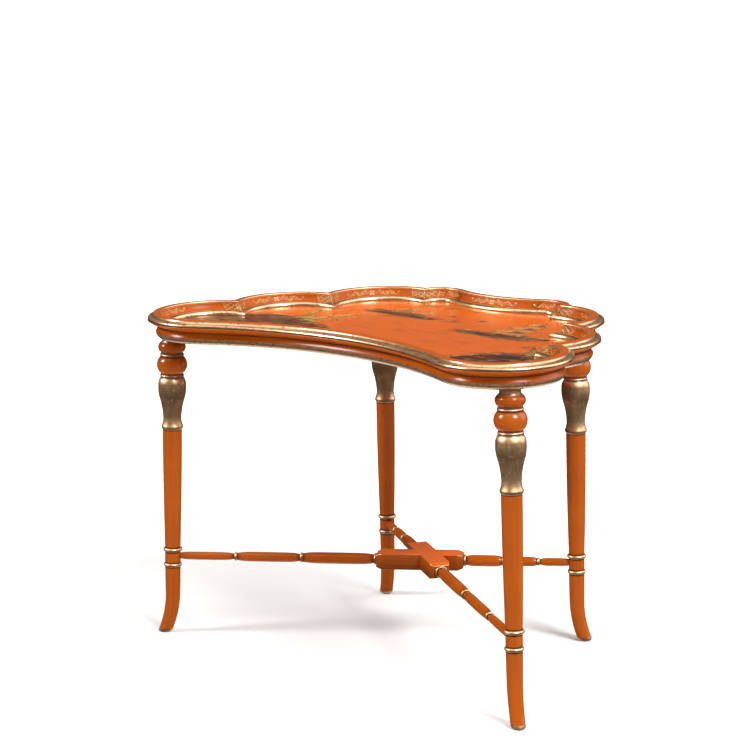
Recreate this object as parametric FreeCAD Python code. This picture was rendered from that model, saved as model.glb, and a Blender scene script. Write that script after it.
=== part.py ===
"""Tray top tea table: a scalloped lacquer tray with a coved gallery, lifted off a turned and cross-braced stand.

All sizes are millimetres. The origin is on the floor under the middle of the table, X runs along the width,
the concave front edge looks towards minus Y and Z points up.
"""
import math
import os

import FreeCAD
import Part

from FreeCAD import Vector

# Plan of the tray edge, right half, as circles that meet at cusps
END_LOBE_X = 335.5
END_LOBE_Y = -171.0
END_LOBE_RADIUS = 125.0
OUTER_SCALLOP_X = 272.8
OUTER_SCALLOP_Y = -18.4
OUTER_SCALLOP_RADIUS = 133.2
INNER_SCALLOP_X = 175.9
INNER_SCALLOP_Y = 129.5
INNER_SCALLOP_RADIUS = 133.9
HUMP_X = 121.8
HUMP_Y = 228.6
HUMP_RADIUS = 67.4
FRONT_CENTRE_Y = -214.0
BACK_CENTRE_Y = 268.6

# Heights
TABLE_HEIGHT = 625.5
GALLERY_HEIGHT = 25.0
FLOOR_THICKNESS = 8.0
FRAME_HEIGHT = 21.0
STRETCHER_HEIGHT = 151.5

# Section of the tray gallery, widths measured inwards from the outermost line of the rim
RIM_OVERHANG = 10.5
RIM_WIDTH = 13.5
RIM_EDGE_ROUND = 1.5
RIM_EDGE_BULGE = 0.3
WALL_RUN = 10.0
WALL_HOLLOW = 2.0
NOSE_HEIGHT = 12.6
NOSE_ROUND = 1.6
UNDERCUT = 18.5
UNDERCUT_FILLET = 1.5
UNDERCUT_BULGE = 0.8
RIM_BEAD_WIDTH = 3.4
RIM_BEAD_HEIGHT = 7.0
RIM_BEAD_BULGE = 1.0
RIM_COVE_HOLLOW = 1.5
FLOOR_BEAD_WIDTH = 4.0
FLOOR_BEAD_HEIGHT = 7.0
FLOOR_BEAD_BULGE = 1.4
FLOOR_LAP = 6.0

# Section of the stand frame under the tray
FRAME_COVE_FOOT = 14.6
FRAME_COVE_HOLLOW = 0.8
APRON_HEIGHT = 11.5
APRON_WIDTH = 7.4
APRON_BULGE = 2.2
FRONT_RAIL_WIDTH = 62.0

# Legs, placed where their centre lines pass the height of the stretcher
FRONT_LEG_X = 408.0
FRONT_LEG_Y = -232.1
BACK_LEG_X = 232.2
BACK_LEG_Y = 194.1
FRONT_LEG_RAKE = 0.033
BACK_LEG_RAKE = 0.007
NECK_TOP_RADIUS = 24.0
NECK_RADIUS = 18.4
TORUS_RADIUS = 26.0
BULB_RADIUS = 28.6
COLLAR_RADIUS = 22.5
COLLAR_RISE = 1.5
VASE_SHOULDER_RADIUS = 26.2
VASE_WAIST_RADIUS = 17.2
VASE_FLARE_RADIUS = 20.4
SHAFT_TOP_RADIUS = 18.2
SHAFT_FOOT_RADIUS = 14.7
SHAFT_SWELL = 0.7
RING_RISE_UPPER = 3.3
RING_RISE_LOWER = 2.4
FOOT_RADIUS = 14.0
TOE_TIP_RADIUS = 12.6
NECK_HEIGHT = 12.0
TORUS_HEIGHT = 19.0
GROOVE_HEIGHT = 3.0
COLLAR_HEIGHT = 4.5
BULB_HEIGHT = 33.0
LOWER_GROOVE_HEIGHT = 2.0
VASE_HEIGHT = 100.8
VASE_SHOULDER_SHARE = 0.16
VASE_SWELL_SHARE = 0.44
VASE_WAIST_SHARE = 0.76
VASE_FLARE_SHARE = 0.94
VASE_TOP_BULGE = 1.6
VASE_SIDE_BULGE = 1.4
VASE_SIDE_HOLLOW = 0.9
VASE_FLARE_HOLLOW = 1.2
VASE_END_BULGE = 0.8
NECK_NARROW_SHARE = 0.35
RING_HEIGHT = 7.0
UPPER_RING_LEVEL = 164.7
LOWER_RING_LEVEL = 134.5
TOE_HEIGHT = 80.5
TOE_KICK = 15.6

# Stretcher
BLOCK_LENGTH = 164.0
BLOCK_WIDTH = 38.0
BLOCK_HEIGHT = 30.0
BLOCK_BEVEL_LENGTH = 10.0
BLOCK_BEVEL_DEPTH = 3.5
LONG_BLOCK_SHIFT = 15.0
BAR_THIN_RADIUS = 7.4
BAR_MIDDLE_RADIUS = 9.0
BAR_THICK_RADIUS = 10.8
BAR_SWELL = 0.9
BAR_RING_WIDTH = 5.0
BAR_RING_RISE = 1.8
BAR_FIRST_RING_SHARE = 0.285
BAR_SECOND_RING_SHARE = 0.62

# Joints and fixings
TENON_RADIUS = 11.0
TENON_LENGTH = 9.5
BAR_TENON_RADIUS = 6.0
BAR_TENON_LENGTH = 11.0
BLOCK_TENON_LENGTH = 22.0
KEY_LENGTH = 24.0
KEY_WIDTH = 26.0
KEY_THICKNESS = 4.0
TRAY_SCREW_INSET = 31.0
TRAY_SCREW_RADIUS = 1.5
TRAY_SCREW_HEAD_RADIUS = 2.8
TRAY_SCREW_LENGTH = 13.0
SCREW_RADIUS = 2.0
SCREW_HEAD_RADIUS = 4.0
SCREW_LENGTH = 24.0
GLIDE_RADIUS = 9.0
GLIDE_THICKNESS = 2.0
GLIDE_PIN_RADIUS = 1.2
GLIDE_PIN_LENGTH = 10.0

# Clearances
GLUE_GAP = 0.15
END_GAP = 1.0
LIFT_GAP = 0.6

# Levels and lines that follow from the sizes
TRAY_BASE = TABLE_HEIGHT - GALLERY_HEIGHT
FRAME_BASE = TRAY_BASE - FRAME_HEIGHT
LEDGE_HEIGHT = FRAME_HEIGHT - FLOOR_THICKNESS - LIFT_GAP
RIM_INNER_INSET = RIM_OVERHANG + RIM_WIDTH
WALL_FOOT_INSET = RIM_INNER_INSET + WALL_RUN
PANEL_INSET = WALL_FOOT_INSET - FLOOR_LAP
APRON_BACK_INSET = FRAME_COVE_FOOT + APRON_WIDTH
MITRE_REACH = 0.92
OUTSIDE_REACH = 80.0
FAR = 2000.0


class PlanArc:
    """One circular stretch of the plan; hollow arcs have their centre outside the table."""

    def __init__(self, x, y, radius, hollow=False):
        self.x = x
        self.y = y
        self.radius = radius
        self.hollow = hollow

    def radius_at(self, inset):
        """Radius of the parallel line that lies the inset inside the outermost line."""
        if self.hollow:
            return self.radius + inset
        return self.radius - inset

    def point(self, angle, inset):
        """Plan point of a parallel line at an angle seen from the centre."""
        reach = self.radius_at(inset)
        return Vector(self.x + reach * math.cos(angle), self.y + reach * math.sin(angle), 0)

    def angle_to(self, spot):
        """Angle of a plan point seen from the centre."""
        return math.atan2(spot.y - self.y, spot.x - self.x)


def hollow_arc(lobe, middle_y, side):
    """Hollow arc on the centre line that runs tangent into a lobe; side is minus one in front and plus one behind."""
    rise = (lobe.y - middle_y) * -side
    numerator = lobe.x ** 2 + rise ** 2 - lobe.radius ** 2
    radius = numerator / (2 * (lobe.radius - rise))
    return PlanArc(0, middle_y + side * radius, radius, hollow=True)


end_lobe = PlanArc(END_LOBE_X, END_LOBE_Y, END_LOBE_RADIUS)
outer_scallop = PlanArc(OUTER_SCALLOP_X, OUTER_SCALLOP_Y, OUTER_SCALLOP_RADIUS)
inner_scallop = PlanArc(INNER_SCALLOP_X, INNER_SCALLOP_Y, INNER_SCALLOP_RADIUS)
hump = PlanArc(HUMP_X, HUMP_Y, HUMP_RADIUS)
front = hollow_arc(end_lobe, FRONT_CENTRE_Y, -1)
dip = hollow_arc(hump, BACK_CENTRE_Y, 1)


def cusp(first, second, inset):
    """Outer crossing of the parallel lines of two neighbouring lobes."""
    span = math.hypot(second.x - first.x, second.y - first.y)
    along_x = (second.x - first.x) / span
    along_y = (second.y - first.y) / span
    near = first.radius_at(inset)
    beyond = second.radius_at(inset)
    along = (span ** 2 + near ** 2 - beyond ** 2) / (2 * span)
    across = math.sqrt(near ** 2 - along ** 2)
    return Vector(first.x + along * along_x + across * along_y, first.y + along * along_y - across * along_x, 0)


def meeting_depth(first, second):
    """Inset down to which a mitre between two lobes runs."""
    span = math.hypot(second.x - first.x, second.y - first.y)
    return MITRE_REACH * (first.radius + second.radius - span) / 2


def mitre_ends(first, second):
    """Inner and outer end of the straight mitre cut between two lobes, the outer end well outside the table."""
    inner = cusp(first, second, meeting_depth(first, second))
    tip = cusp(first, second, 0)
    outwards = (tip - inner).normalize()
    return inner, tip + outwards * OUTSIDE_REACH


def tangent_spot(lobe, hollow, inset):
    """Point where a lobe runs into its hollow arc, at an inset."""
    outwards = Vector(hollow.x - lobe.x, hollow.y - lobe.y, 0).normalize()
    return Vector(lobe.x, lobe.y, 0) + outwards * lobe.radius_at(inset)


front_inner = tangent_spot(end_lobe, front, FRONT_RAIL_WIDTH)
front_outer = tangent_spot(end_lobe, front, -OUTSIDE_REACH)
first_inner, first_outer = mitre_ends(end_lobe, outer_scallop)
second_inner, second_outer = mitre_ends(outer_scallop, inner_scallop)
third_inner, third_outer = mitre_ends(inner_scallop, hump)
bow_outer = tangent_spot(hump, dip, -OUTSIDE_REACH)
bow_slant = Vector(hump.x, hump.y, 0) - bow_outer
bow_inner = bow_outer + bow_slant * ((third_inner.y - bow_outer.y) / bow_slant.y)


def flip(spot):
    """The mirrored plan point on the left half."""
    return Vector(-spot.x, spot.y, spot.z)


far_side = end_lobe.x + 2 * end_lobe.radius
far_back = hump.y + 2 * hump.radius
END_FIELD = [
    front_inner,
    front_outer,
    Vector(far_side, front_outer.y, 0),
    Vector(far_side, first_outer.y, 0),
    first_outer,
    first_inner,
]
OUTER_FIELD = [first_inner, first_outer, second_outer, second_inner]
INNER_FIELD = [second_inner, second_outer, third_outer, third_inner]
HUMP_FIELD = [third_inner, third_outer, Vector(third_outer.x, far_back, 0), bow_outer, bow_inner]
front_apex = Vector(front.x, front.y, 0)
front_reach = front_apex + (front_inner - front_apex) * 2
FRONT_FIELD = [front_apex, front_reach, flip(front_reach)]
DIP_FIELD = [bow_inner, bow_outer, flip(bow_outer), flip(bow_inner)]


def prism(corners, bottom, top):
    """Upright block over a plan polygon."""
    spots = [Vector(corner.x, corner.y, bottom) for corner in corners]
    face = Part.Face(Part.makePolygon(spots + spots[:1]))
    return face.extrude(Vector(0, 0, top - bottom))


def section_edge(arc, start, finish):
    """Edge of a section between two points; the finish point may carry a point that an arc passes through."""
    def place(spot):
        reach = arc.radius_at(spot[0]) if arc else spot[0]
        return Vector(reach, 0, spot[1])
    if len(finish) == 4:
        through = place(finish[2:])
        return Part.Arc(place(start), through, place(finish)).toShape()
    return Part.makeLine(place(start), place(finish))


def turned(section, arc=None):
    """Solid swept round the upright axis by a section of (inset or radius, height) points."""
    edges = []
    for number, finish in enumerate(section):
        edges.append(section_edge(arc, section[number - 1][:2], finish))
    face = Part.Face(Part.Wire(edges))
    return face.revolve(Vector(0, 0, 0), Vector(0, 0, 1), 360)


def moulding(arc, section, field, base):
    """Stretch of moulding along one plan arc, cut to its field and standing on a base level."""
    ring = turned(section, arc)
    if ring.Volume < 0:
        ring.reverse()
    ring.translate(Vector(arc.x, arc.y, base))
    return ring.common(prism(field, base - TABLE_HEIGHT, base + TABLE_HEIGHT)).Solids[0]


def mirrored(shape):
    """The left hand copy of a right hand piece."""
    return shape.mirror(Vector(0, 0, 0), Vector(1, 0, 0))


def bow_piece(section_for, base):
    """The back bow: two humps and the dip between them, worked in one piece."""
    right = moulding(hump, section_for(hump), HUMP_FIELD, base)
    middle = moulding(dip, section_for(dip), DIP_FIELD, base)
    return right.fuse(middle).fuse(mirrored(right)).removeSplitter().Solids[0]


def edge_set(section_for, base):
    """Right and left pieces of a moulded edge all round the plan, by name."""
    pieces = {}
    pieces["front"] = moulding(front, section_for(front), FRONT_FIELD, base)
    singles = {
        "end": (end_lobe, END_FIELD),
        "outer": (outer_scallop, OUTER_FIELD),
        "inner": (inner_scallop, INNER_FIELD),
    }
    for name, (arc, field) in singles.items():
        piece = moulding(arc, section_for(arc), field, base)
        pieces[name + "_right"] = piece
        pieces[name + "_left"] = mirrored(piece)
    pieces["bow"] = bow_piece(section_for, base)
    return pieces


def between(first, second, offset):
    """Point offset square to the middle of a chord, to the left when going from the first end to the second."""
    run_x = second[0] - first[0]
    run_y = second[1] - first[1]
    length = math.hypot(run_x, run_y)
    middle_x = (first[0] + second[0]) / 2 - offset * run_y / length
    middle_y = (first[1] + second[1]) / 2 + offset * run_x / length
    return (middle_x, middle_y)


def gallery_section(arc):
    """Gallery: undercut lower side with a rounded nose, upright back for the rim strip, flat rim, hollow wall."""
    fillet = (UNDERCUT, UNDERCUT_FILLET)
    nose_low = (NOSE_ROUND / 2, NOSE_HEIGHT - NOSE_ROUND)
    nose_top = (NOSE_ROUND / 2, NOSE_HEIGHT)
    rim_round = (RIM_OVERHANG, GALLERY_HEIGHT - RIM_EDGE_ROUND)
    rim_edge = (RIM_OVERHANG + RIM_EDGE_ROUND, GALLERY_HEIGHT)
    wall_top = (RIM_INNER_INSET, GALLERY_HEIGHT - RIM_EDGE_ROUND)
    wall_foot = (WALL_FOOT_INSET, FLOOR_BEAD_HEIGHT)
    return [
        (UNDERCUT, 0),
        fillet,
        nose_low + between(fillet, nose_low, UNDERCUT_BULGE),
        nose_top + (0, NOSE_HEIGHT - NOSE_ROUND / 2),
        (RIM_OVERHANG, NOSE_HEIGHT),
        rim_round,
        rim_edge + between(rim_round, rim_edge, RIM_EDGE_BULGE),
        (RIM_INNER_INSET - RIM_EDGE_ROUND, GALLERY_HEIGHT),
        wall_top,
        wall_foot + between(wall_top, wall_foot, -WALL_HOLLOW),
        (WALL_FOOT_INSET, 0),
    ]


def rim_bead_section(arc):
    """Gilt strip round the rim: a bead that swells outwards below and a hollow that runs up to the rim edge."""
    toe = (NOSE_ROUND / 2, NOSE_HEIGHT)
    crest = (RIM_BEAD_WIDTH, NOSE_HEIGHT + RIM_BEAD_HEIGHT)
    top = (RIM_OVERHANG, GALLERY_HEIGHT - RIM_EDGE_ROUND)
    return [
        (RIM_OVERHANG, NOSE_HEIGHT),
        toe,
        crest + between(toe, crest, RIM_BEAD_BULGE),
        top + between(crest, top, -RIM_COVE_HOLLOW),
    ]


def floor_bead_section(arc):
    """Bead lying in the corner between wall and floor."""
    top = (WALL_FOOT_INSET, FLOOR_BEAD_HEIGHT)
    toe = (WALL_FOOT_INSET + FLOOR_BEAD_WIDTH, 0)
    return [(WALL_FOOT_INSET, 0), top, toe + between(top, toe, FLOOR_BEAD_BULGE)]


def frame_section(arc):
    """Frame rail: flaring cove outside, seat for the apron strip, lip on top and a ledge for the tray behind the lip."""
    shelf = (FRAME_COVE_FOOT, APRON_HEIGHT)
    lip_edge = (UNDERCUT, FRAME_HEIGHT)
    lip_back = PANEL_INSET - LIFT_GAP
    back = arc.radius if not arc.hollow else FRONT_RAIL_WIDTH
    if arc is dip:
        back = HUMP_RADIUS + OUTSIDE_REACH
    return [
        (APRON_BACK_INSET, 0),
        (APRON_BACK_INSET, APRON_HEIGHT),
        shelf,
        lip_edge + between(shelf, lip_edge, -FRAME_COVE_HOLLOW),
        (lip_back, FRAME_HEIGHT),
        (lip_back, LEDGE_HEIGHT),
        (back, LEDGE_HEIGHT),
        (back, 0),
    ]


def apron_bead_section(arc):
    """Gilt quarter-round strip along the lower edge of the frame."""
    top = (FRAME_COVE_FOOT, APRON_HEIGHT)
    toe = (APRON_BACK_INSET, 0)
    return [(APRON_BACK_INSET, APRON_HEIGHT), top, toe + between(top, toe, -APRON_BULGE)]


def arc_edge(arc, start, finish, inset):
    """Plan edge along an arc between two of its points, by way of the middle angle."""
    middle = (arc.angle_to(start) + arc.angle_to(finish)) / 2
    return Part.Arc(start, arc.point(middle, inset), finish).toShape()


def plan_board(inset, bottom, top):
    """Board whose edge is the plan outline drawn in by an inset."""
    joint = tangent_spot(end_lobe, front, inset)
    one = cusp(end_lobe, outer_scallop, inset)
    two = cusp(outer_scallop, inner_scallop, inset)
    three = cusp(inner_scallop, hump, inset)
    crown = tangent_spot(hump, dip, inset)
    right = [
        arc_edge(end_lobe, joint, one, inset),
        arc_edge(outer_scallop, one, two, inset),
        arc_edge(inner_scallop, two, three, inset),
        arc_edge(hump, three, crown, inset),
    ]
    front_edge = Part.Arc(flip(joint), Vector(0, FRONT_CENTRE_Y + inset, 0), joint).toShape()
    back_edge = Part.Arc(crown, Vector(0, BACK_CENTRE_Y - inset, 0), flip(crown)).toShape()
    left = [mirrored(edge) for edge in right]
    ordered = Part.__sortEdges__([front_edge] + right + [back_edge] + left)
    face = Part.Face(Part.Wire(ordered))
    board = face.extrude(Vector(0, 0, top - bottom))
    board.translate(Vector(0, 0, bottom))
    return board


# Where the stretcher diagonals cross, and the leg places
LEG_PLACES = {
    "front_left": Vector(-FRONT_LEG_X, FRONT_LEG_Y, STRETCHER_HEIGHT),
    "front_right": Vector(FRONT_LEG_X, FRONT_LEG_Y, STRETCHER_HEIGHT),
    "back_left": Vector(-BACK_LEG_X, BACK_LEG_Y, STRETCHER_HEIGHT),
    "back_right": Vector(BACK_LEG_X, BACK_LEG_Y, STRETCHER_HEIGHT),
}
cross_share = FRONT_LEG_X / (FRONT_LEG_X + BACK_LEG_X)
CROSSING = Vector(0, FRONT_LEG_Y + (BACK_LEG_Y - FRONT_LEG_Y) * cross_share, STRETCHER_HEIGHT)


def leg_placement(place):
    """Placement of a leg: its local X looks outwards along the diagonal, and its head leans inwards by the rake."""
    outwards = place - CROSSING
    rake = FRONT_LEG_RAKE if place.y < CROSSING.y else BACK_LEG_RAKE
    turn = FreeCAD.Rotation(Vector(0, 0, 1), math.degrees(math.atan2(outwards.y, outwards.x)))
    lean = FreeCAD.Rotation(Vector(0, 1, 0), -math.degrees(math.atan(rake)))
    return FreeCAD.Placement(place, turn.multiply(lean))


def leg_turning():
    """Turned part of a leg about its own axis, heights counted from the stretcher level, top to bottom."""
    top = FRAME_BASE - STRETCHER_HEIGHT
    neck = top - NECK_HEIGHT
    torus = neck - TORUS_HEIGHT
    groove = torus - GROOVE_HEIGHT
    collar = groove - COLLAR_HEIGHT
    bulb = collar - BULB_HEIGHT
    lower_groove = bulb - LOWER_GROOVE_HEIGHT
    lower_collar = lower_groove - COLLAR_HEIGHT
    groove_radius = COLLAR_RADIUS - COLLAR_RISE
    shoulder = (VASE_SHOULDER_RADIUS, lower_collar - VASE_HEIGHT * VASE_SHOULDER_SHARE)
    swell_radius = (VASE_SHOULDER_RADIUS + VASE_WAIST_RADIUS) / 2 + VASE_SIDE_HOLLOW
    swell = (swell_radius, lower_collar - VASE_HEIGHT * VASE_SWELL_SHARE)
    waist = (VASE_WAIST_RADIUS, lower_collar - VASE_HEIGHT * VASE_WAIST_SHARE)
    flare = (VASE_FLARE_RADIUS, lower_collar - VASE_HEIGHT * VASE_FLARE_SHARE)
    vase_end = (SHAFT_TOP_RADIUS, lower_collar - VASE_HEIGHT)
    vase_top = (groove_radius, lower_collar)
    upper_ring = UPPER_RING_LEVEL - STRETCHER_HEIGHT
    lower_ring = LOWER_RING_LEVEL - STRETCHER_HEIGHT
    shaft_end = (SHAFT_FOOT_RADIUS, upper_ring + RING_HEIGHT / 2)
    toe = TOE_HEIGHT - STRETCHER_HEIGHT
    return [
        (NECK_TOP_RADIUS, top + NECK_HEIGHT),
        (NECK_TOP_RADIUS, top),
        (groove_radius, neck, NECK_RADIUS, neck + NECK_HEIGHT * NECK_NARROW_SHARE),
        (groove_radius, torus, TORUS_RADIUS, (neck + torus) / 2),
        (groove_radius, groove),
        (groove_radius, collar, COLLAR_RADIUS, (groove + collar) / 2),
        (groove_radius, bulb, BULB_RADIUS, (collar + bulb) / 2),
        (groove_radius, lower_groove),
        (groove_radius, lower_collar, COLLAR_RADIUS, (lower_groove + lower_collar) / 2),
        shoulder + between(vase_top, shoulder, VASE_TOP_BULGE),
        swell + between(shoulder, swell, VASE_SIDE_BULGE),
        waist + between(swell, waist, -VASE_SIDE_HOLLOW),
        flare + between(waist, flare, -VASE_FLARE_HOLLOW),
        vase_end + between(flare, vase_end, VASE_END_BULGE),
        shaft_end + between(vase_end, shaft_end, SHAFT_SWELL),
        (SHAFT_FOOT_RADIUS, upper_ring - RING_HEIGHT / 2, SHAFT_FOOT_RADIUS + RING_RISE_UPPER, upper_ring),
        (SHAFT_FOOT_RADIUS, lower_ring + RING_HEIGHT / 2),
        (SHAFT_FOOT_RADIUS, lower_ring - RING_HEIGHT / 2, SHAFT_FOOT_RADIUS + RING_RISE_LOWER, lower_ring),
        (FOOT_RADIUS, toe),
        (0, toe),
        (0, top + NECK_HEIGHT),
    ]


TOE_RADIUS = (TOE_HEIGHT ** 2 + TOE_KICK ** 2) / (2 * TOE_KICK)


def leg_toe():
    """Sabre toe: a slightly tapered round bar bent outwards below the straight part of the leg."""
    toe = TOE_HEIGHT - STRETCHER_HEIGHT
    whole = math.asin(min(1.0, (TOE_HEIGHT + TOE_TIP_RADIUS) / TOE_RADIUS))
    stations = 6
    rings = []
    for number in range(stations + 1):
        share = number / stations
        angle = whole * share
        spot = Vector(TOE_RADIUS * (1 - math.cos(angle)), 0, toe - TOE_RADIUS * math.sin(angle))
        heading = Vector(math.sin(angle), 0, -math.cos(angle))
        radius = FOOT_RADIUS + (TOE_TIP_RADIUS - FOOT_RADIUS) * share
        rings.append(Part.Wire(Part.makeCircle(radius, spot, heading)))
    return Part.makeLoft(rings, True, False)


def foot_spot(place):
    """Middle of the foot on the level where the glide meets the wood."""
    drop = TOE_HEIGHT - GLIDE_THICKNESS
    kick = TOE_RADIUS - math.sqrt(TOE_RADIUS ** 2 - drop ** 2)
    spot = leg_placement(place).multVec(Vector(kick, 0, GLIDE_THICKNESS - STRETCHER_HEIGHT))
    return Vector(spot.x, spot.y, GLIDE_THICKNESS)


def level_slab(bottom, top):
    """Very wide slab between two levels."""
    return Part.makeBox(2 * FAR, 2 * FAR, top - bottom, Vector(-FAR, -FAR, bottom))


def leg_tenon(place, radius, length):
    """Round tenon on the leg axis, from under the frame up into it."""
    root = FRAME_BASE - STRETCHER_HEIGHT - NECK_HEIGHT / 2
    tenon = Part.makeCylinder(radius, NECK_HEIGHT / 2 + length, Vector(0, 0, root))
    tenon.Placement = leg_placement(place)
    return tenon


def bar_frame(place):
    """Length of a diagonal from leg to crossing, and the placement whose local X runs along it."""
    run = CROSSING - place
    turn = FreeCAD.Rotation(Vector(0, 0, 1), math.degrees(math.atan2(run.y, run.x)))
    return run.Length, FreeCAD.Placement(place, turn)


def lying(shape, placement):
    """A shape turned about the upright axis, laid down so that its axis runs along the local X."""
    laid = shape.copy()
    laid.rotate(Vector(0, 0, 0), Vector(0, 1, 0), 90)
    laid.Placement = placement.multiply(laid.Placement)
    return laid


def block_near_end(name):
    """How far from the crossing the centre block ends on the side of a leg."""
    shift = {"front_left": LONG_BLOCK_SHIFT, "back_right": -LONG_BLOCK_SHIFT}
    return BLOCK_LENGTH / 2 + shift.get(name, 0)


def bar_section(name):
    """Stretcher bar: three swelled lengths with rings between, thin at the leg and thick at the block."""
    start = SHAFT_FOOT_RADIUS
    finish = bar_frame(LEG_PLACES[name])[0] - block_near_end(name)
    half = BAR_RING_WIDTH / 2
    run = finish - start
    lengths = [
        (BAR_THIN_RADIUS, start + run * BAR_FIRST_RING_SHARE - half),
        (BAR_MIDDLE_RADIUS, start + run * BAR_SECOND_RING_SHARE - half),
        (BAR_THICK_RADIUS, finish - BAR_RING_WIDTH),
    ]
    inner = start - BAR_TENON_LENGTH
    points = [(0, inner), (BAR_TENON_RADIUS, inner), (BAR_TENON_RADIUS, start)]
    before = start
    for number, (radius, ring) in enumerate(lengths):
        slim = radius - BAR_SWELL
        if number:
            points.append((slim, before))
        points.append((slim, ring, radius, (before + ring) / 2))
        before = ring + BAR_RING_WIDTH
        points.append((slim, before, slim + BAR_RING_RISE, ring + half))
    points.append((BAR_TENON_RADIUS, finish))
    points.append((BAR_TENON_RADIUS, finish + BLOCK_TENON_LENGTH))
    points.append((0, finish + BLOCK_TENON_LENGTH))
    return points


def bevelled(width, near, beyond):
    """Outline of a block along its length, with its two ends bevelled."""
    half = width / 2
    slim = half - BLOCK_BEVEL_DEPTH
    return [
        (near, -slim),
        (near + BLOCK_BEVEL_LENGTH, -half),
        (beyond - BLOCK_BEVEL_LENGTH, -half),
        (beyond, -slim),
        (beyond, slim),
        (beyond - BLOCK_BEVEL_LENGTH, half),
        (near + BLOCK_BEVEL_LENGTH, half),
        (near, slim),
    ]


def centre_block(name):
    """Squared centre block on a diagonal, bevelled towards both ends."""
    length, placement = bar_frame(LEG_PLACES[name])
    near = length - block_near_end(name)
    beyond = near + BLOCK_LENGTH
    plan = [Vector(along, across, 0) for along, across in bevelled(BLOCK_WIDTH, near, beyond)]
    side = [Vector(along, -BLOCK_WIDTH, up) for along, up in bevelled(BLOCK_HEIGHT, near, beyond)]
    block = prism(plan, -BLOCK_HEIGHT, BLOCK_HEIGHT)
    side_face = Part.Face(Part.makePolygon(side + side[:1]))
    block = block.common(side_face.extrude(Vector(0, 2 * BLOCK_WIDTH, 0)))
    block.Placement = placement
    return block


def lap_box(name, growth):
    """Square bar of the size of a centre block, with an allowance all round, for cutting the lap of the other one."""
    length, placement = bar_frame(LEG_PLACES[name])
    width = BLOCK_WIDTH + 2 * growth
    height = BLOCK_HEIGHT + 2 * growth
    corner = Vector(length - BLOCK_LENGTH, -width / 2, -height / 2)
    box = Part.makeBox(2 * BLOCK_LENGTH, width, height, corner)
    box.Placement = placement
    return box


def centre_screw(growth):
    """Countersunk screw up through the crossing, with an allowance for its hole."""
    base = STRETCHER_HEIGHT - BLOCK_HEIGHT / 2
    head = SCREW_HEAD_RADIUS - SCREW_RADIUS
    points = [
        (0, base - growth),
        (SCREW_HEAD_RADIUS + growth, base - growth),
        (SCREW_HEAD_RADIUS + growth, base),
        (SCREW_RADIUS + growth, base + head),
        (SCREW_RADIUS + growth, base + SCREW_LENGTH + growth),
        (0, base + SCREW_LENGTH + growth),
    ]
    if not growth:
        points.pop(2)
    screw = turned(points)
    screw.translate(Vector(CROSSING.x, CROSSING.y, 0))
    return screw


def joint_key(middle, along, growth):
    """Loose tongue across a joint of the frame, lying level, its length square to the joint line."""
    height = KEY_THICKNESS + 2 * growth
    corner = Vector(-KEY_WIDTH / 2 - growth, -KEY_LENGTH / 2 - growth, -height / 2)
    key = Part.makeBox(KEY_WIDTH + 2 * growth, KEY_LENGTH + 2 * growth, height, corner)
    turn = FreeCAD.Rotation(Vector(0, 0, 1), math.degrees(math.atan2(along.y, along.x)))
    level = FRAME_BASE + LEDGE_HEIGHT / 2
    key.Placement = FreeCAD.Placement(Vector(middle.x, middle.y, level), turn)
    return key


def frame_keys(growth):
    """The eight tongues of the frame joints."""
    keys = []
    pairs = [(end_lobe, outer_scallop), (outer_scallop, inner_scallop), (inner_scallop, hump)]
    for first, second in pairs:
        inner = mitre_ends(first, second)[0]
        outer = cusp(first, second, APRON_BACK_INSET)
        keys.append(joint_key((inner + outer) * 0.5, outer - inner, growth))
    outer = tangent_spot(end_lobe, front, APRON_BACK_INSET)
    keys.append(joint_key((front_inner + outer) * 0.5, outer - front_inner, growth))
    return keys + [mirrored(key) for key in keys]


# Where the tray screws stand on the right half, in degrees round each arc
TRAY_SCREW_ANGLES = {front: [77], end_lobe: [-80, 5], outer_scallop: [28], inner_scallop: [40], hump: [75]}


def tray_screws(growth):
    """Countersunk screws up through the edge of the floor panel into the gallery, with an allowance for their holes."""
    spots = [front.point(math.radians(90), TRAY_SCREW_INSET)]
    for arc, angles in TRAY_SCREW_ANGLES.items():
        for angle in angles:
            spot = arc.point(math.radians(angle), TRAY_SCREW_INSET)
            spots += [spot, flip(spot)]
    base = TRAY_BASE - FLOOR_THICKNESS
    head = TRAY_SCREW_HEAD_RADIUS - TRAY_SCREW_RADIUS
    section = [
        (0, base),
        (TRAY_SCREW_HEAD_RADIUS + growth, base),
        (TRAY_SCREW_RADIUS + growth, base + head),
        (TRAY_SCREW_RADIUS + growth, base + TRAY_SCREW_LENGTH + growth),
        (0, base + TRAY_SCREW_LENGTH + growth),
    ]
    screws = []
    for spot in spots:
        screw = turned(section)
        screw.translate(spot)
        screws.append(screw)
    return screws


def glide(place, growth):
    """Foot glide: a flat disc with a pin up into the leg."""
    spot = foot_spot(place)
    disc = Part.makeCylinder(GLIDE_RADIUS, GLIDE_THICKNESS, Vector(spot.x, spot.y, 0))
    reach = GLIDE_PIN_LENGTH + growth
    pin = Part.makeCylinder(GLIDE_PIN_RADIUS + growth, reach + GLIDE_THICKNESS / 2, spot - Vector(0, 0, 1))
    if growth:
        return pin
    return disc.fuse(pin).removeSplitter()


nodes = {}

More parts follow.
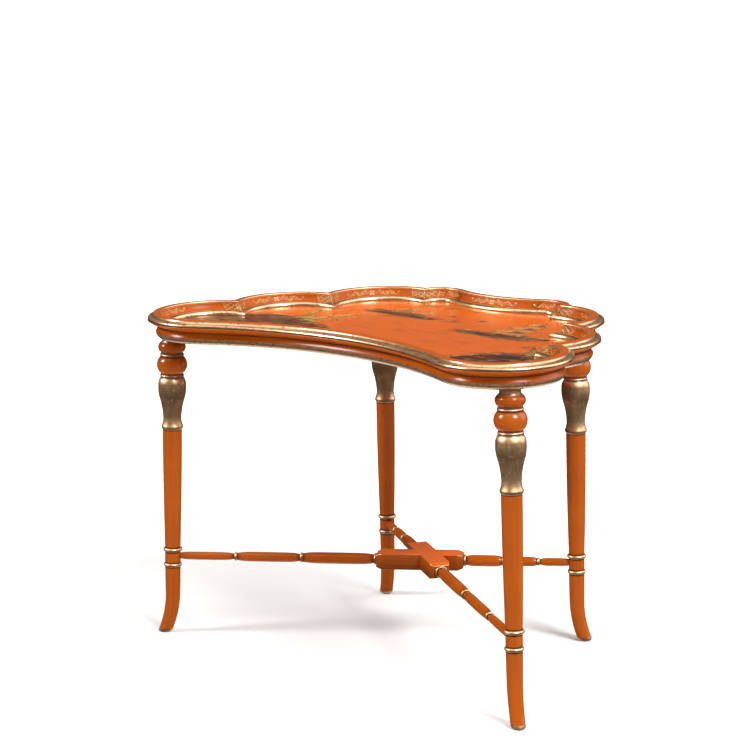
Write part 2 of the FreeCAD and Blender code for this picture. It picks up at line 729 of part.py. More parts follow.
# Tray: floor panel, gallery in eight lengths, gilt strips, screws
tray_holes = tray_screws(GLUE_GAP)
nodes["tray_floor"] = plan_board(PANEL_INSET, TRAY_BASE - FLOOR_THICKNESS, TRAY_BASE).cut(tray_holes)
LONG_NAMES = {
    "front": "front_rail",
    "end_left": "end_left",
    "end_right": "end_right",
    "outer_left": "scallop_outer_left",
    "outer_right": "scallop_outer_right",
    "inner_left": "scallop_inner_left",
    "inner_right": "scallop_inner_right",
    "bow": "back_bow",
}
for key, piece in edge_set(gallery_section, TRAY_BASE).items():
    nodes["tray_" + LONG_NAMES[key]] = piece.cut(tray_holes)
nodes["rim_bead"] = Part.makeCompound(list(edge_set(rim_bead_section, TRAY_BASE).values()))
nodes["floor_bead"] = Part.makeCompound(list(edge_set(floor_bead_section, TRAY_BASE).values()))
nodes["tray_screws"] = Part.makeCompound(tray_screws(0))

# Stand frame: eight boards with a rebate the tray drops into, their loose tongues and the apron strip
frame_holes = []
for place in LEG_PLACES.values():
    frame_holes.append(leg_tenon(place, TENON_RADIUS + GLUE_GAP, TENON_LENGTH + END_GAP))
frame_holes += frame_keys(GLUE_GAP)
rebate = plan_board(PANEL_INSET - LIFT_GAP, FRAME_BASE + LEDGE_HEIGHT, TRAY_BASE + 1)
for key, piece in edge_set(frame_section, FRAME_BASE).items():
    nodes["frame_" + LONG_NAMES[key]] = piece.cut(frame_holes + [rebate])
nodes["frame_keys"] = Part.makeCompound(frame_keys(0))
nodes["apron_bead"] = Part.makeCompound(list(edge_set(apron_bead_section, FRAME_BASE).values()))

# Legs with their tenons, bar sockets and glides
for name, place in LEG_PLACES.items():
    leg = turned(leg_turning()).fuse(leg_toe())
    leg.Placement = leg_placement(place)
    leg = leg.common(level_slab(GLIDE_THICKNESS, FRAME_BASE))
    leg = leg.fuse(leg_tenon(place, TENON_RADIUS, TENON_LENGTH)).removeSplitter()
    length, placement = bar_frame(place)
    socket_start = SHAFT_FOOT_RADIUS - BAR_TENON_LENGTH - END_GAP
    socket_radius = BAR_TENON_RADIUS + GLUE_GAP
    socket = Part.makeCylinder(socket_radius, length - socket_start, Vector(0, 0, socket_start))
    nodes["leg_" + name] = leg.cut([lying(socket, placement), glide(place, GLUE_GAP)]).Solids[0]
    nodes["stretcher_bar_" + name] = lying(turned(bar_section(name)), placement)
nodes["foot_glides"] = Part.makeCompound([glide(place, 0) for place in LEG_PLACES.values()])

# Centre of the stretcher: two blocks half-lapped over each other and screwed from below
middle_level = STRETCHER_HEIGHT
lower_half = level_slab(0, middle_level)
upper_half = level_slab(middle_level, TABLE_HEIGHT)
BLOCKS = {
    "stretcher_block_long": ("front_left", "back_right", "front_right", upper_half),
    "stretcher_block_cross": ("front_right", "back_left", "front_left", lower_half),
}
for name, (near, beyond, other, notch_half) in BLOCKS.items():
    notch = lap_box(other, GLUE_GAP).common(notch_half)
    sockets = []
    for end in (near, beyond):
        length, placement = bar_frame(LEG_PLACES[end])
        socket_start = length - block_near_end(end) - END_GAP
        reach = BLOCK_TENON_LENGTH + 2 * END_GAP
        socket = Part.makeCylinder(BAR_TENON_RADIUS + GLUE_GAP, reach, Vector(0, 0, socket_start))
        sockets.append(lying(socket, placement))
    nodes[name] = centre_block(near).cut([notch, centre_screw(GLUE_GAP)] + sockets)
nodes["stretcher_screw"] = centre_screw(0)

os.makedirs("parts", exist_ok=True)
for name, shape in nodes.items():
    if not shape.isValid():
        print("not valid:", name)
    shape.exportStep("parts/" + name + ".step")
    box = shape.optimalBoundingBox()
    print(name, len(shape.Solids), round(shape.Volume / 1000, 1), "cm3", round(box.ZMin, 1), round(box.ZMax, 1))
everything = Part.makeCompound(list(nodes.values())).optimalBoundingBox()
print("whole", everything)
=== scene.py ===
# %% [markdown]
# # A tray top tea table
# The table is a lacquered tray with a scalloped edge, dropped into the rebate of a stand with turned legs.
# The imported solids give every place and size, so this lesson only lays finer surfaces over them: mouldings
# swept along circles, legs turned round bent axes and a painted tray floor made of thin raised strokes. All
# lengths below are millimetres in the frame of the part, and become metres when a mesh is made.

from collections import namedtuple

import bmesh
import bpy
import numpy as np
from mathutils import Matrix


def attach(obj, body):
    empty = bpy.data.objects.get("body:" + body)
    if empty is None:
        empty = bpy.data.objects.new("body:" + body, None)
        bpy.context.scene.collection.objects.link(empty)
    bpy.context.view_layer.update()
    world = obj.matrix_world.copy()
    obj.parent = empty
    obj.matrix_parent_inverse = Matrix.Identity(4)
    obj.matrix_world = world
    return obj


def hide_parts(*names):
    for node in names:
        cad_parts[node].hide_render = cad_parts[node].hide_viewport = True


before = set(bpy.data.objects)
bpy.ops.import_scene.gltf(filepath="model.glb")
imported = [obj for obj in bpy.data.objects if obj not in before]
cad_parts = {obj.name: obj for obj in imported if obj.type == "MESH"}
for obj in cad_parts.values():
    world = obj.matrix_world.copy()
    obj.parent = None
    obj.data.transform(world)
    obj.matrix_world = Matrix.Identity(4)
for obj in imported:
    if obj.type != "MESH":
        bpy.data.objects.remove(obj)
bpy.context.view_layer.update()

# %% [markdown]
# ## Small tools for meshes
# A piece is a list of sheets. A sheet is a grid of points with the quads between them, and with values on its
# points: the grain direction for brush marks and the amount of dark glaze in its hollows, which in a few
# places also carries painted shade. One could model each piece by hand with loops and bevels, but a grid from
# a formula keeps every moulding exactly on the circles of the plan.

# %% Sheets and pieces
MILLIMETRE = 0.001
SHARP_ANGLE = np.radians(38)


def sheet(grid, grain, glaze_and_shade=0.0, finish=0):
    """Grid of points (rows, columns, 3) as one surface: quads between neighbours, columns closed into a loop,
    and the first and last row closed by a flat cap. Finish is a material number per row, per column or for
    all."""
    rows, columns = grid.shape[:2]
    number = np.arange(rows * columns).reshape(rows, columns)
    right = np.roll(number, -1, axis=1)
    quads = np.stack([number[:-1], right[:-1], right[1:], number[1:]], axis=-1)
    caps = [number[0, ::-1].tolist(), number[-1].tolist()]
    finishes = np.broadcast_to(finish, quads.shape[:2]).reshape(-1).tolist()
    return {
        "points": grid.reshape(-1, 3),
        "faces": quads.reshape(-1, 4).tolist() + caps,
        "finish": finishes + [finishes[0], finishes[-1]],
        "grain": np.broadcast_to(grain, grid.shape).reshape(-1, 3),
        "glaze_and_shade": np.broadcast_to(glaze_and_shade, grid.shape[:2]).reshape(-1),
    }


def set_values(mesh, grain, glaze_and_shade):
    """Puts on the points of a mesh what the finishes read there: the place in the grain and the amount of
    glaze and painted shade."""
    places = mesh.attributes.new("grain", "FLOAT_VECTOR", "POINT").data
    places.foreach_set("vector", grain.astype(np.float32).ravel())
    amounts = mesh.attributes.new("glaze_and_shade", "FLOAT", "POINT").data
    amounts.foreach_set("value", glaze_and_shade.astype(np.float32))


def put_in_scene(name, data):
    """Object of a mesh, a light or a camera, linked to the scene."""
    made = bpy.data.objects.new(name, data)
    bpy.context.scene.collection.objects.link(made)
    return made


def set_on_frame(name, mesh, body, materials, stands_for):
    """Object of a mesh, smooth but for its sharp edges, that rides on a body and stands for solids of the
    frame."""
    mesh.shade_smooth()
    mesh.set_sharp_from_angle(angle=SHARP_ANGLE)
    for material in materials:
        mesh.materials.append(material)
    made = put_in_scene(name, mesh)
    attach(made, body)
    if stands_for:
        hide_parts(*stands_for)
    print(name, len(mesh.vertices), "points", len(mesh.polygons), "faces")
    return made


def piece(name, sheets, body, materials, stands_for=()):
    """Joins sheets into one mesh in metres, turns its faces outwards and sets it on the frame."""
    starts = np.cumsum([0] + [len(one["points"]) for one in sheets]).tolist()
    faces = []
    for one, first in zip(sheets, starts):
        faces += [[corner + first for corner in face] for face in one["faces"]]
    keys = ("points", "grain", "glaze_and_shade")
    points, grain, glaze_and_shade = [np.concatenate([one[key] for one in sheets]) for key in keys]
    mesh = bpy.data.meshes.new(name)
    mesh.from_pydata((points * MILLIMETRE).tolist(), [], faces)
    mesh.polygons.foreach_set("material_index", sum([one["finish"] for one in sheets], []))
    set_values(mesh, grain * MILLIMETRE, glaze_and_shade)
    work = bmesh.new()
    work.from_mesh(mesh)
    bmesh.ops.recalc_face_normals(work, faces=work.faces)
    work.to_mesh(mesh)
    work.free()
    set_on_frame(name, mesh, body, materials, stands_for)


# %% [markdown]
# ## Sections
# A moulding or a turning is drawn as a section, the way a cabinet maker cuts a template: straight lines and
# arcs. A bezier would do too, but an arc through a third point is how the solids were drawn, so both agree.

# %% Section curves
ARC_STEPS = 9
LINE_STEPS = 3


def arc_points(start, via, finish):
    """Points on the circle through three points; its centre is where the perpendicular bisectors cross."""
    base = np.array(start, float)
    first = np.array(via, float) - base
    second = np.array(finish, float) - base
    area = 2 * (first[0] * second[1] - first[1] * second[0])
    centre_x = (second[1] * (first @ first) - first[1] * (second @ second)) / area
    centre_y = (first[0] * (second @ second) - second[0] * (first @ first)) / area
    spots = np.array([[0, 0], first, second]) - [centre_x, centre_y]
    turn = np.arctan2(spots[:, 1], spots[:, 0])
    to_via = (turn[1] - turn[0]) % (2 * np.pi)
    sweep = (turn[2] - turn[0]) % (2 * np.pi)
    if to_via > sweep:
        sweep -= 2 * np.pi
    angle = turn[0] + sweep * np.linspace(0, 1, ARC_STEPS + 1)[1:]
    radius = np.hypot(centre_x, centre_y)
    return base + [centre_x, centre_y] + radius * np.stack([np.cos(angle), np.sin(angle)], axis=-1)


def bulge(start, finish, offset):
    """Point beside the middle of a chord, offset to the left of the way from start to finish."""
    run = np.subtract(finish, start)
    square = np.array([-run[1], run[0]]) / np.hypot(*run)
    return np.add(start, finish) / 2 + offset * square


def section_curve(section):
    """Points along a section and, for each, the number of the stretch that it ends. A corner is (across, up).
    The end of an arc also has the offset of its middle from the chord, or two values for a point on the
    arc."""
    points = [np.array([section[0][:2]], float)]
    stretch = [np.zeros(1, int)]
    for number, (before, after) in enumerate(zip(section, section[1:])):
        start = before[:2]
        finish = after[:2]
        bend = after[2:]
        if len(bend) == 1:
            bend = tuple(bulge(start, finish, *bend))
        if bend:
            part = arc_points(start, bend, finish)
        else:
            share = np.linspace(0, 1, LINE_STEPS + 1)[1:, None]
            part = np.array(start) * (1 - share) + np.array(finish) * share
        points.append(part)
        stretch.append(np.full(len(part), number))
    return np.concatenate(points), np.concatenate(stretch)


print("an arc of a section has", ARC_STEPS, "steps")

# %% [markdown]
# ## The plan of the edge
# The tray edge is ten circular arcs: a hollow front, two end lobes, four scallops and a back bow of two humps
# with a dip between them. Every line of the mouldings is a parallel of this outline, drawn in by an inset.
# Two lobes meet in a cusp, so a moulding is cut there along a mitre: the crossing of the two parallels, inset
# by inset.

# %% Plan arcs and mouldings
PlanArc = namedtuple("PlanArc", "x y radius side")
LOBE = 1
HOLLOW = -1
FRONT_MIDDLE = -214.0
BACK_MIDDLE = 268.6
end_lobe = PlanArc(335.5, -171.0, 125.0, LOBE)
outer_scallop = PlanArc(272.8, -18.4, 133.2, LOBE)
inner_scallop = PlanArc(175.9, 129.5, 133.9, LOBE)
hump = PlanArc(121.8, 228.6, 67.4, LOBE)


def hollow_arc(lobe, middle, towards):
    """Hollow arc on the centre line, tangent to a lobe: its radius follows from the distance of the two
    centres."""
    rise = (middle - lobe.y) * towards
    radius = (lobe.x ** 2 + rise ** 2 - lobe.radius ** 2) / (2 * (lobe.radius - rise))
    return PlanArc(0.0, middle + towards * radius, radius, HOLLOW)


def mirrored_arc(arc):
    """The same arc on the left half."""
    return PlanArc(-arc.x, arc.y, arc.radius, arc.side)


front = hollow_arc(end_lobe, FRONT_MIDDLE, -1)
dip = hollow_arc(hump, BACK_MIDDLE, 1)
NEIGHBOURS = {
    front: (mirrored_arc(end_lobe), end_lobe),
    end_lobe: (front, outer_scallop),
    outer_scallop: (end_lobe, inner_scallop),
    inner_scallop: (outer_scallop, hump),
    hump: (inner_scallop, dip),
    dip: (hump, mirrored_arc(hump)),
}
RIGHT_NAMES = {end_lobe: "end", outer_scallop: "scallop_outer", inner_scallop: "scallop_inner"}


def meeting_angle(arc, other, inset, turn):
    """Angle, seen from the centre of an arc, where its parallel meets that of a neighbour: on the line of
    centres where they are tangent, otherwise off that line by the angle of the triangle of the two radii and
    the span."""
    heading = np.arctan2(other.y - arc.y, other.x - arc.x)
    if arc.side != other.side:
        return np.full(np.shape(inset), heading)
    span = np.hypot(other.x - arc.x, other.y - arc.y)
    near = arc.radius - inset
    beyond = other.radius - inset
    return heading + turn * np.arccos((span ** 2 + near ** 2 - beyond ** 2) / (2 * span * near))


def along_arc(arc, share, inset):
    """Plan points of an arc: the share runs from 0 at one mitre to 1 at the next, the inset is drawn
    inwards."""
    before, after = NEIGHBOURS[arc]
    start = meeting_angle(arc, before, inset, 1)
    finish = meeting_angle(arc, after, inset, -1)
    angle = start + share * (finish - start)
    reach = arc.radius - arc.side * inset
    return arc.x + reach * np.cos(angle), arc.y + reach * np.sin(angle)


def arc_length(arc, inset):
    """Length of an arc between its two mitres, at an inset."""
    before, after = NEIGHBOURS[arc]
    sweep = meeting_angle(arc, after, inset, -1) - meeting_angle(arc, before, inset, 1)
    return abs(sweep) * (arc.radius - arc.side * inset)


STEP_ALONG = 7.0
MEAN_INSET = 20.0


def moulding(arc, curve, base):
    """Grid of a section carried along an arc, rows from mitre to mitre, with its grain: inset, height, way
    along."""
    length = arc_length(arc, MEAN_INSET)
    share = np.linspace(0, 1, int(length / STEP_ALONG) + 2)[:, None]
    x, y = along_arc(arc, share, curve[:, 0])
    inset, height, way = [np.broadcast_to(values, x.shape) for values in (*curve.T, share * length)]
    return np.stack([x, y, base + height], axis=-1), np.stack([inset + arc.x, height, way], axis=-1)


def mirrored(grid, grain):
    """Left hand copy of a right hand grid and its grain, with the rows in the opposite order so that it runs
    on."""
    return grid[::-1] * [-1, 1, 1], grain[::-1]


def all_lengths(make, *details):
    """Every length of the edge by name, as a list of grids with their grain, made arc by arc: the front, each
    lobe right and left, and the bow of two humps and the dip."""
    lengths = {"front_rail": [make(front, *details)]}
    for arc, name in RIGHT_NAMES.items():
        right = make(arc, *details)
        lengths[name + "_right"] = [right]
        lengths[name + "_left"] = [mirrored(*right)]
    right = make(hump, *details)
    lengths["back_bow"] = [right, make(dip, *details), mirrored(*right)]
    return lengths


def edge_pieces(curve, base):
    """All lengths of an edge moulding by name, with the three arcs of the bow joined into one grid and
    grain."""
    lengths = all_lengths(moulding, curve, base)
    right, middle, left = lengths["back_bow"]
    inner = [values[1:-1] for values in middle]
    lengths["back_bow"] = [[np.concatenate(values) for values in zip(right, inner, left)]]
    return {name: parts[0] for name, parts in lengths.items()}


print("front radius", round(front.radius, 1), "dip radius", round(dip.radius, 1))

# %% [markdown]
# ## Materials
# Each finish starts from what it is on a real table. Colours are picked as sRGB hex values and made linear
# once. One helper adds a node, sets its values and links its inputs, so that a whole finish reads as a short
# list.

# %% Colour and node helpers


def linear(code):
    """Linear colour of an sRGB hex code: the inverse of the sRGB transfer curve on each channel."""
    channels = np.array([int(code[place:place + 2], 16) for place in (1, 3, 5)]) / 255
    curved = ((channels + 0.055) / 1.055) ** 2.4
    return tuple(np.where(channels <= 0.04045, channels / 12.92, curved).tolist()) + (1.0,)


def wire(node, settings):
    """Sets properties and sockets of a node by name or number; a value that is an output socket is linked."""
    for name, value in settings.items():
        if isinstance(value, bpy.types.NodeSocket):
            node.id_data.links.new(value, node.inputs[name])
        elif isinstance(name, str) and hasattr(node, name):
            setattr(node, name, value)
        else:
            node.inputs[name].default_value = value


def add(tree, kind, output, settings):
    """Adds a node with its settings and links, and returns one of its outputs by name or number."""
    node = tree.nodes.new(kind)
    wire(node, settings)
    return node.outputs[output]


def new_material(name):
    """Empty node material with its shader; returns the material, its tree and the shader node."""
    material = bpy.data.materials.new(name)
    material.use_nodes = True
    tree = material.node_tree
    return material, tree, tree.nodes["Principled BSDF"]


# Sockets of a colour mix: factor, first colour, second colour and result
MIX_FACTOR, MIX_FIRST, MIX_SECOND, MIX_RESULT = 0, 6, 7, 2
# The scale of a pattern is this number over its size in millimetres
GRIT_PER_METRE = 1000.0
print("a pattern of 5 mm has scale", GRIT_PER_METRE / 5)

# %% [markdown]
# ### Antiqued lacquer
# The legs, rails and tray are wood under several brushed coats of orange-red oil lacquer. It is rubbed with a
# dark umber glaze that stays in the hollows and in the brush marks, and waxed to a satin shine. A plain
# glossy orange would look like plastic, so broad clouds, long brush streaks and the glaze of the hollows all
# change the colour a little. The glaze is matt, so it also takes the shine off, and so does the painted shade
# that a few pieces carry in the same values.

# %% Lacquer
UMBER = "#2A1206"
LACQUER_IOR = 1.5
GLAZE_SHINE = 0.03


def lacquer(name, body_hex, deep_hex, streak_wide, streak_long, cloud, roughness, shine):
    """Brushed oil lacquer: two tones in clouds, streaks of the given width and length in mm, glaze in the
    hollows and painted shade where the points carry it. Shine is the strength of its mirror image, which the
    glaze and the painted shade take away."""
    material, tree, shader = new_material(name)
    grain = add(tree, "ShaderNodeAttribute", "Vector", {"attribute_name": "grain"})
    glaze_and_shade = add(tree, "ShaderNodeAttribute", "Fac", {"attribute_name": "glaze_and_shade"})
    clouds = add(tree, "ShaderNodeTexNoise", "Fac",
                 {"Scale": GRIT_PER_METRE / cloud, "Detail": 3.0, "Vector": grain})
    squeeze = [GRIT_PER_METRE / size for size in (streak_wide, streak_wide, streak_long)]
    lanes = add(tree, "ShaderNodeMapping", "Vector", {"Scale": squeeze, "Vector": grain})
    streaks = add(tree, "ShaderNodeTexNoise", "Fac",
                  {"Scale": 1.0, "Detail": 4.0, "Roughness": 0.6, "Vector": lanes})
    both = add(tree, "ShaderNodeMath", "Value", {"operation": "ADD", 0: clouds, 1: streaks})
    tone = add(tree, "ShaderNodeMapRange", "Result", {"From Min": 0.55, "From Max": 1.55, "Value": both})
    paint = add(tree, "ShaderNodeMix", MIX_RESULT,
                {"data_type": "RGBA", MIX_FIRST: linear(body_hex), MIX_SECOND: linear(deep_hex),
                 MIX_FACTOR: tone})
    uneven = add(tree, "ShaderNodeMapRange", "Result",
                 {"From Min": 0.3, "From Max": 0.7, "To Min": 0.7, "To Max": 1.2, "Value": streaks})
    held = add(tree, "ShaderNodeMath", "Value",
               {"operation": "MULTIPLY", "use_clamp": True, 0: glaze_and_shade, 1: uneven})
    umber_and_shade_mix = add(tree, "ShaderNodeMix", MIX_RESULT,
               {"data_type": "RGBA", MIX_FIRST: paint, MIX_SECOND: linear(UMBER), MIX_FACTOR: held})
    dull = add(tree, "ShaderNodeMapRange", "Result",
               {"To Min": roughness - 0.06, "To Max": roughness + 0.08, "Value": streaks})
    matt = add(tree, "ShaderNodeMapRange", "Result", {"To Min": shine, "To Max": GLAZE_SHINE, "Value": held})
    relief = add(tree, "ShaderNodeBump", "Normal", {"Strength": 0.05, "Distance": 0.0004, "Height": streaks})
    wire(shader, {"IOR": LACQUER_IOR, "Specular IOR Level": shine})
    wire(shader, {"Base Color": umber_and_shade_mix, "Roughness": dull, "Specular IOR Level": matt, "Normal": relief})
    return material


leg_lacquer = lacquer("brushed_orange_lacquer", "#9E4903", "#813803", 5.0, 160.0, 70.0, 0.2, 0.4)
rail_lacquer = lacquer("tray_edge_lacquer", "#A64D05", "#833604", 3.0, 120.0, 80.0, 0.22, 0.22)
wall_lacquer = lacquer("tray_wall_lacquer", "#AC4D04", "#863603", 3.0, 90.0, 60.0, 0.36, 0.15)
floor_lacquer = lacquer("tray_floor_lacquer", "#BC5504", "#AB4603", 5.0, 140.0, 140.0, 0.17, 0.45)
print("lacquers made")

# %% [markdown]
# ### Antique gilding
# The strips, rings and vases are gilded: gold leaf over red-brown clay bole, toned with umber and rubbed
# thin. The eye gets a soft metal with pale highlights, brown hollows and small patches where the bole shows.
# The strips are burnished to a sharper shine than the turnings, and a coat of shellac gives all of them white
# lights. Metal keeps its default IOR, and the noise sizes are those of rubbing marks, drawn a little coarse
# so that they show.

# %% Gilding
LEAF_PALE = "#F6CE9C"
LEAF_DEEP = "#C48B58"
BOLE = "#562814"
LEAF_CLOUD = 16.0
RUB_MARK = 7.0


def gilding(name, rubbed, roughness, shellac_roughness):
    """Rubbed gold leaf: two leaf tones in small clouds, bole where the leaf is rubbed through, umber in the
    hollows, painted shade where the points carry it, and a coat of shellac over all."""
    material, tree, shader = new_material(name)
    grain = add(tree, "ShaderNodeAttribute", "Vector", {"attribute_name": "grain"})
    glaze_and_shade = add(tree, "ShaderNodeAttribute", "Fac", {"attribute_name": "glaze_and_shade"})
    clouds = add(tree, "ShaderNodeTexNoise", "Fac",
                 {"Scale": GRIT_PER_METRE / LEAF_CLOUD, "Detail": 5.0, "Roughness": 0.65, "Vector": grain})
    leaf = add(tree, "ShaderNodeMix", MIX_RESULT,
               {"data_type": "RGBA", MIX_FIRST: linear(LEAF_DEEP), MIX_SECOND: linear(LEAF_PALE),
                MIX_FACTOR: clouds})
    rubs = add(tree, "ShaderNodeTexNoise", "Fac",
               {"Scale": GRIT_PER_METRE / RUB_MARK, "Detail": 4.0, "Roughness": 0.7, "Vector": grain})
    worn = add(tree, "ShaderNodeMapRange", "Result",
               {"From Min": 1 - rubbed, "From Max": 1.1 - rubbed, "To Max": 0.8, "Value": rubs})
    bole_and_shade_mix = add(tree, "ShaderNodeMath", "Value", {"operation": "ADD", "use_clamp": True, 0: worn, 1: glaze_and_shade})
    colour = add(tree, "ShaderNodeMix", MIX_RESULT,
                 {"data_type": "RGBA", MIX_FIRST: leaf, MIX_SECOND: linear(BOLE), MIX_FACTOR: bole_and_shade_mix})
    metal = add(tree, "ShaderNodeMapRange", "Result", {"To Min": 1.0, "To Max": 0.25, "Value": bole_and_shade_mix})
    dull = add(tree, "ShaderNodeMapRange", "Result",
               {"To Min": roughness - 0.08, "To Max": roughness + 0.14, "Value": clouds})
    relief = add(tree, "ShaderNodeBump", "Normal", {"Strength": 0.15, "Distance": 0.0004, "Height": rubs})
    wire(shader, {"Coat Weight": 1.0, "Coat Roughness": shellac_roughness})
    wire(shader, {"Base Color": colour, "Metallic": metal, "Roughness": dull, "Normal": relief})
    return material


leaf_gilding = gilding("rubbed_leaf_gilding", 0.41, 0.42, 0.28)
burnished_gilding = gilding("burnished_leaf_gilding", 0.46, 0.28, 0.2)
print("gilding made")

# %% [markdown]
# ### Small finishes
# Hidden joints are bare beech and the screws and glides are plain zinc-plated steel. They barely show, yet
# each still gets its grain or its fine mottling, because the tray lifts off and the feet are seen from below.

# %% Beech and steel


def plain_finish(name, light_hex, dark_hex, size, metallic, roughness):
    """Simple finish: two tones in a noise of the given size in mm, on Object coordinates."""
    material, tree, shader = new_material(name)
    place = add(tree, "ShaderNodeTexCoord", "Object", {})
    mottle = add(tree, "ShaderNodeTexNoise", "Fac",
                 {"Scale": GRIT_PER_METRE / size, "Detail": 4.0, "Vector": place})
    colour = add(tree, "ShaderNodeMix", MIX_RESULT,
                 {"data_type": "RGBA", MIX_FIRST: linear(light_hex), MIX_SECOND: linear(dark_hex),
                  MIX_FACTOR: mottle})
    wire(shader, {"Base Color": colour, "Metallic": metallic, "Roughness": roughness})
    return material


beech = plain_finish("bare_beech", "#C9A074", "#A97F55", 9.0, 0.0, 0.6)
steel = plain_finish("zinc_plated_steel", "#B9BABC", "#8E9094", 3.0, 1.0, 0.4)
SMALL_FINISHES = {"frame_keys": beech, "tray_screws": steel, "stretcher_screw": steel, "foot_glides": steel}
for node, material in SMALL_FINISHES.items():
    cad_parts[node].data.materials.clear()
    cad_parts[node].data.materials.append(material)
print("small finishes set")

# %% [markdown]
# ## The gallery of the tray
# The gallery is a moulding in eight lengths: an undercut lower side, a flat rim and a hollow inner wall. Its
# section is carried along each arc from mitre to mitre. The narrow round at the inner edge of the rim is
# gilded, which is why one stretch of the section gets the second material. The wall gets the third, a softer
# lacquer.

# %% Gallery
TRAY_BASE = 600.5
WALL_FOOT = 7.0
GALLERY_SECTION = [
    (34.0, 0.0),
    (18.5, 0.0),
    (18.5, 1.5),
    (0.8, 11.0, 0.8),
    (0.8, 12.6, 0.0, 11.8),
    (10.5, 12.6),
    (10.5, 23.5),
    (12.0, 25.0, 0.3),
    (22.6, 25.0, -0.2),
    (24.0, 23.5, 0.3),
    (34.0, WALL_FOOT, -2.0),
]
GILT_STRETCH = 8
WALL_STRETCH = 9
WALL_FINISH = 2
GLAZE_DEPTH = 1.6
FOOT_GLAZE = 0.8
MITRE_DARKENING = 0.65
MITRE_DARKENING_REACH = 18.0
gallery_curve, gallery_stretch = section_curve(GALLERY_SECTION)
next_stretch = np.roll(gallery_stretch, -1)
gallery_finish = np.searchsorted([GILT_STRETCH, WALL_STRETCH], next_stretch, "right")
height = gallery_curve[:, 1]
joint_glaze = np.exp(-height / GLAZE_DEPTH)
foot_glaze = FOOT_GLAZE * np.exp(-np.abs(height - WALL_FOOT) / GLAZE_DEPTH)
gallery_glaze = np.where(gallery_curve[:, 0] < MEAN_INSET, joint_glaze, foot_glaze)
for name, (grid, grain) in edge_pieces(gallery_curve, TRAY_BASE).items():
    way = grain[:, :1, 2]
    to_mitre = np.minimum(way - way.min(), way.max() - way)
    # The inner wall is also darker towards each mitre
    mitre_darkening = (gallery_finish == WALL_FINISH) * MITRE_DARKENING * np.exp(-to_mitre / MITRE_DARKENING_REACH)
    one = sheet(grid, grain, gallery_glaze + mitre_darkening, gallery_finish)
    finishes = [rail_lacquer, leaf_gilding, wall_lacquer]
    piece("gallery_" + name, [one], "tray", finishes, ["tray_" + name])

# %% [markdown]
# ## Gilt strips
# Three strips are gilded: the rim strip with a bead and a hollow, the small bead in the corner of the tray
# floor and the quarter round under the stand. The lengths of one strip are kept together in one mesh, as they
# are in the solids.

# %% Rim strip, floor bead and apron strip
RIM_STRIP = [(10.5, 12.6), (0.8, 12.6), (2.6, 18.6, 1.2), (3.9, 19.2), (10.5, 23.6, -1.1)]
FLOOR_BEAD = [(34.0, 0.0), (34.0, WALL_FOOT), (38.0, 0.0, 1.4)]
APRON_STRIP = [(22.0, 11.5), (14.6, 11.5), (22.0, 0.0, -2.2)]
FRAME_BASE = 579.5
STRIP_GLAZE = 0.8


def gilt_strip(name, section, base, body, grooves, groove_depth):
    """A strip in all its lengths, with glaze held near some heights of its section."""
    curve = section_curve(section)[0]
    distance = np.abs(curve[:, 1:] - grooves).min(axis=1)
    glaze_and_shade = STRIP_GLAZE * np.exp(-distance / groove_depth)
    sheets = [sheet(grid, grain, glaze_and_shade) for grid, grain in edge_pieces(curve, base).values()]
    piece(name, sheets, body, [burnished_gilding], [name])


gilt_strip("rim_bead", RIM_STRIP, TRAY_BASE, "tray", [19.0, 23.6], 0.6)
gilt_strip("floor_bead", FLOOR_BEAD, TRAY_BASE, "tray", [0.0], 0.8)
gilt_strip("apron_bead", APRON_STRIP, FRAME_BASE, "stand", [11.5], 2.0)

# %% [markdown]
# ## The stand frame
# Eight boards make the ring of the stand. Outside they show a flaring cove under the tray, behind it a lip
# and a ledge that the tray drops onto. The inner edge of each board is a straight saw cut between two mitres,
# so the last points of the section lie on that line instead of on a parallel of the outline.

# %% Frame boards
MITRE_REACH = 0.92
RAIL_WIDTH = 62.0
LEDGE = 12.4
COVE_TOP = 21.0
COVE_GLAZE = 0.9
COVE_GLAZE_DEPTH = 1.3
BACK_GLAZE = [0.3, 0.3]
BOARD_ORDER = ["front_rail", "back_bow", "end_right", "end_left", "scallop_outer_right", "scallop_outer_left",
               "scallop_inner_right", "scallop_inner_left"]
FRAME_SECTION = [
    (22.0, 0.0),
    (22.0, 11.5),
    (14.6, 11.5),
    (18.5, COVE_TOP, -0.8),
    (27.4, COVE_TOP),
    (27.4, LEDGE),
]
frame_curve = section_curve(FRAME_SECTION)[0]


def meeting_depth(first, second):
    """Inset at which the parallels of two lobes stop crossing, times the reach of the mitre."""
    span = np.hypot(first.x - second.x, first.y - second.y)
    return MITRE_REACH * (first.radius + second.radius - span) / 2


def cut_end(arc, other, turn):
    """Inner end of the saw cut between two boards: at the depth of their mitre, or the rail width at a
    tangent."""
    depth = RAIL_WIDTH if other.side != arc.side else meeting_depth(arc, other)
    angle = meeting_angle(arc, other, depth, turn)
    reach = arc.radius - arc.side * depth
    return np.array([arc.x + reach * np.cos(angle), arc.y + reach * np.sin(angle)])


bow_start = cut_end(hump, inner_scallop, 1)
towards_dip = np.array([dip.x - hump.x, dip.y - hump.y])
bow_corner = np.array([hump.x, hump.y]) + towards_dip * (bow_start[1] - hump.y) / towards_dip[1]
BOARD_BACKS = {hump: (bow_start, bow_corner), dip: (bow_corner, bow_corner * [-1, 1])}
for arc in RIGHT_NAMES:
    before, after = NEIGHBOURS[arc]
    BOARD_BACKS[arc] = (cut_end(arc, before, 1), cut_end(arc, after, -1))


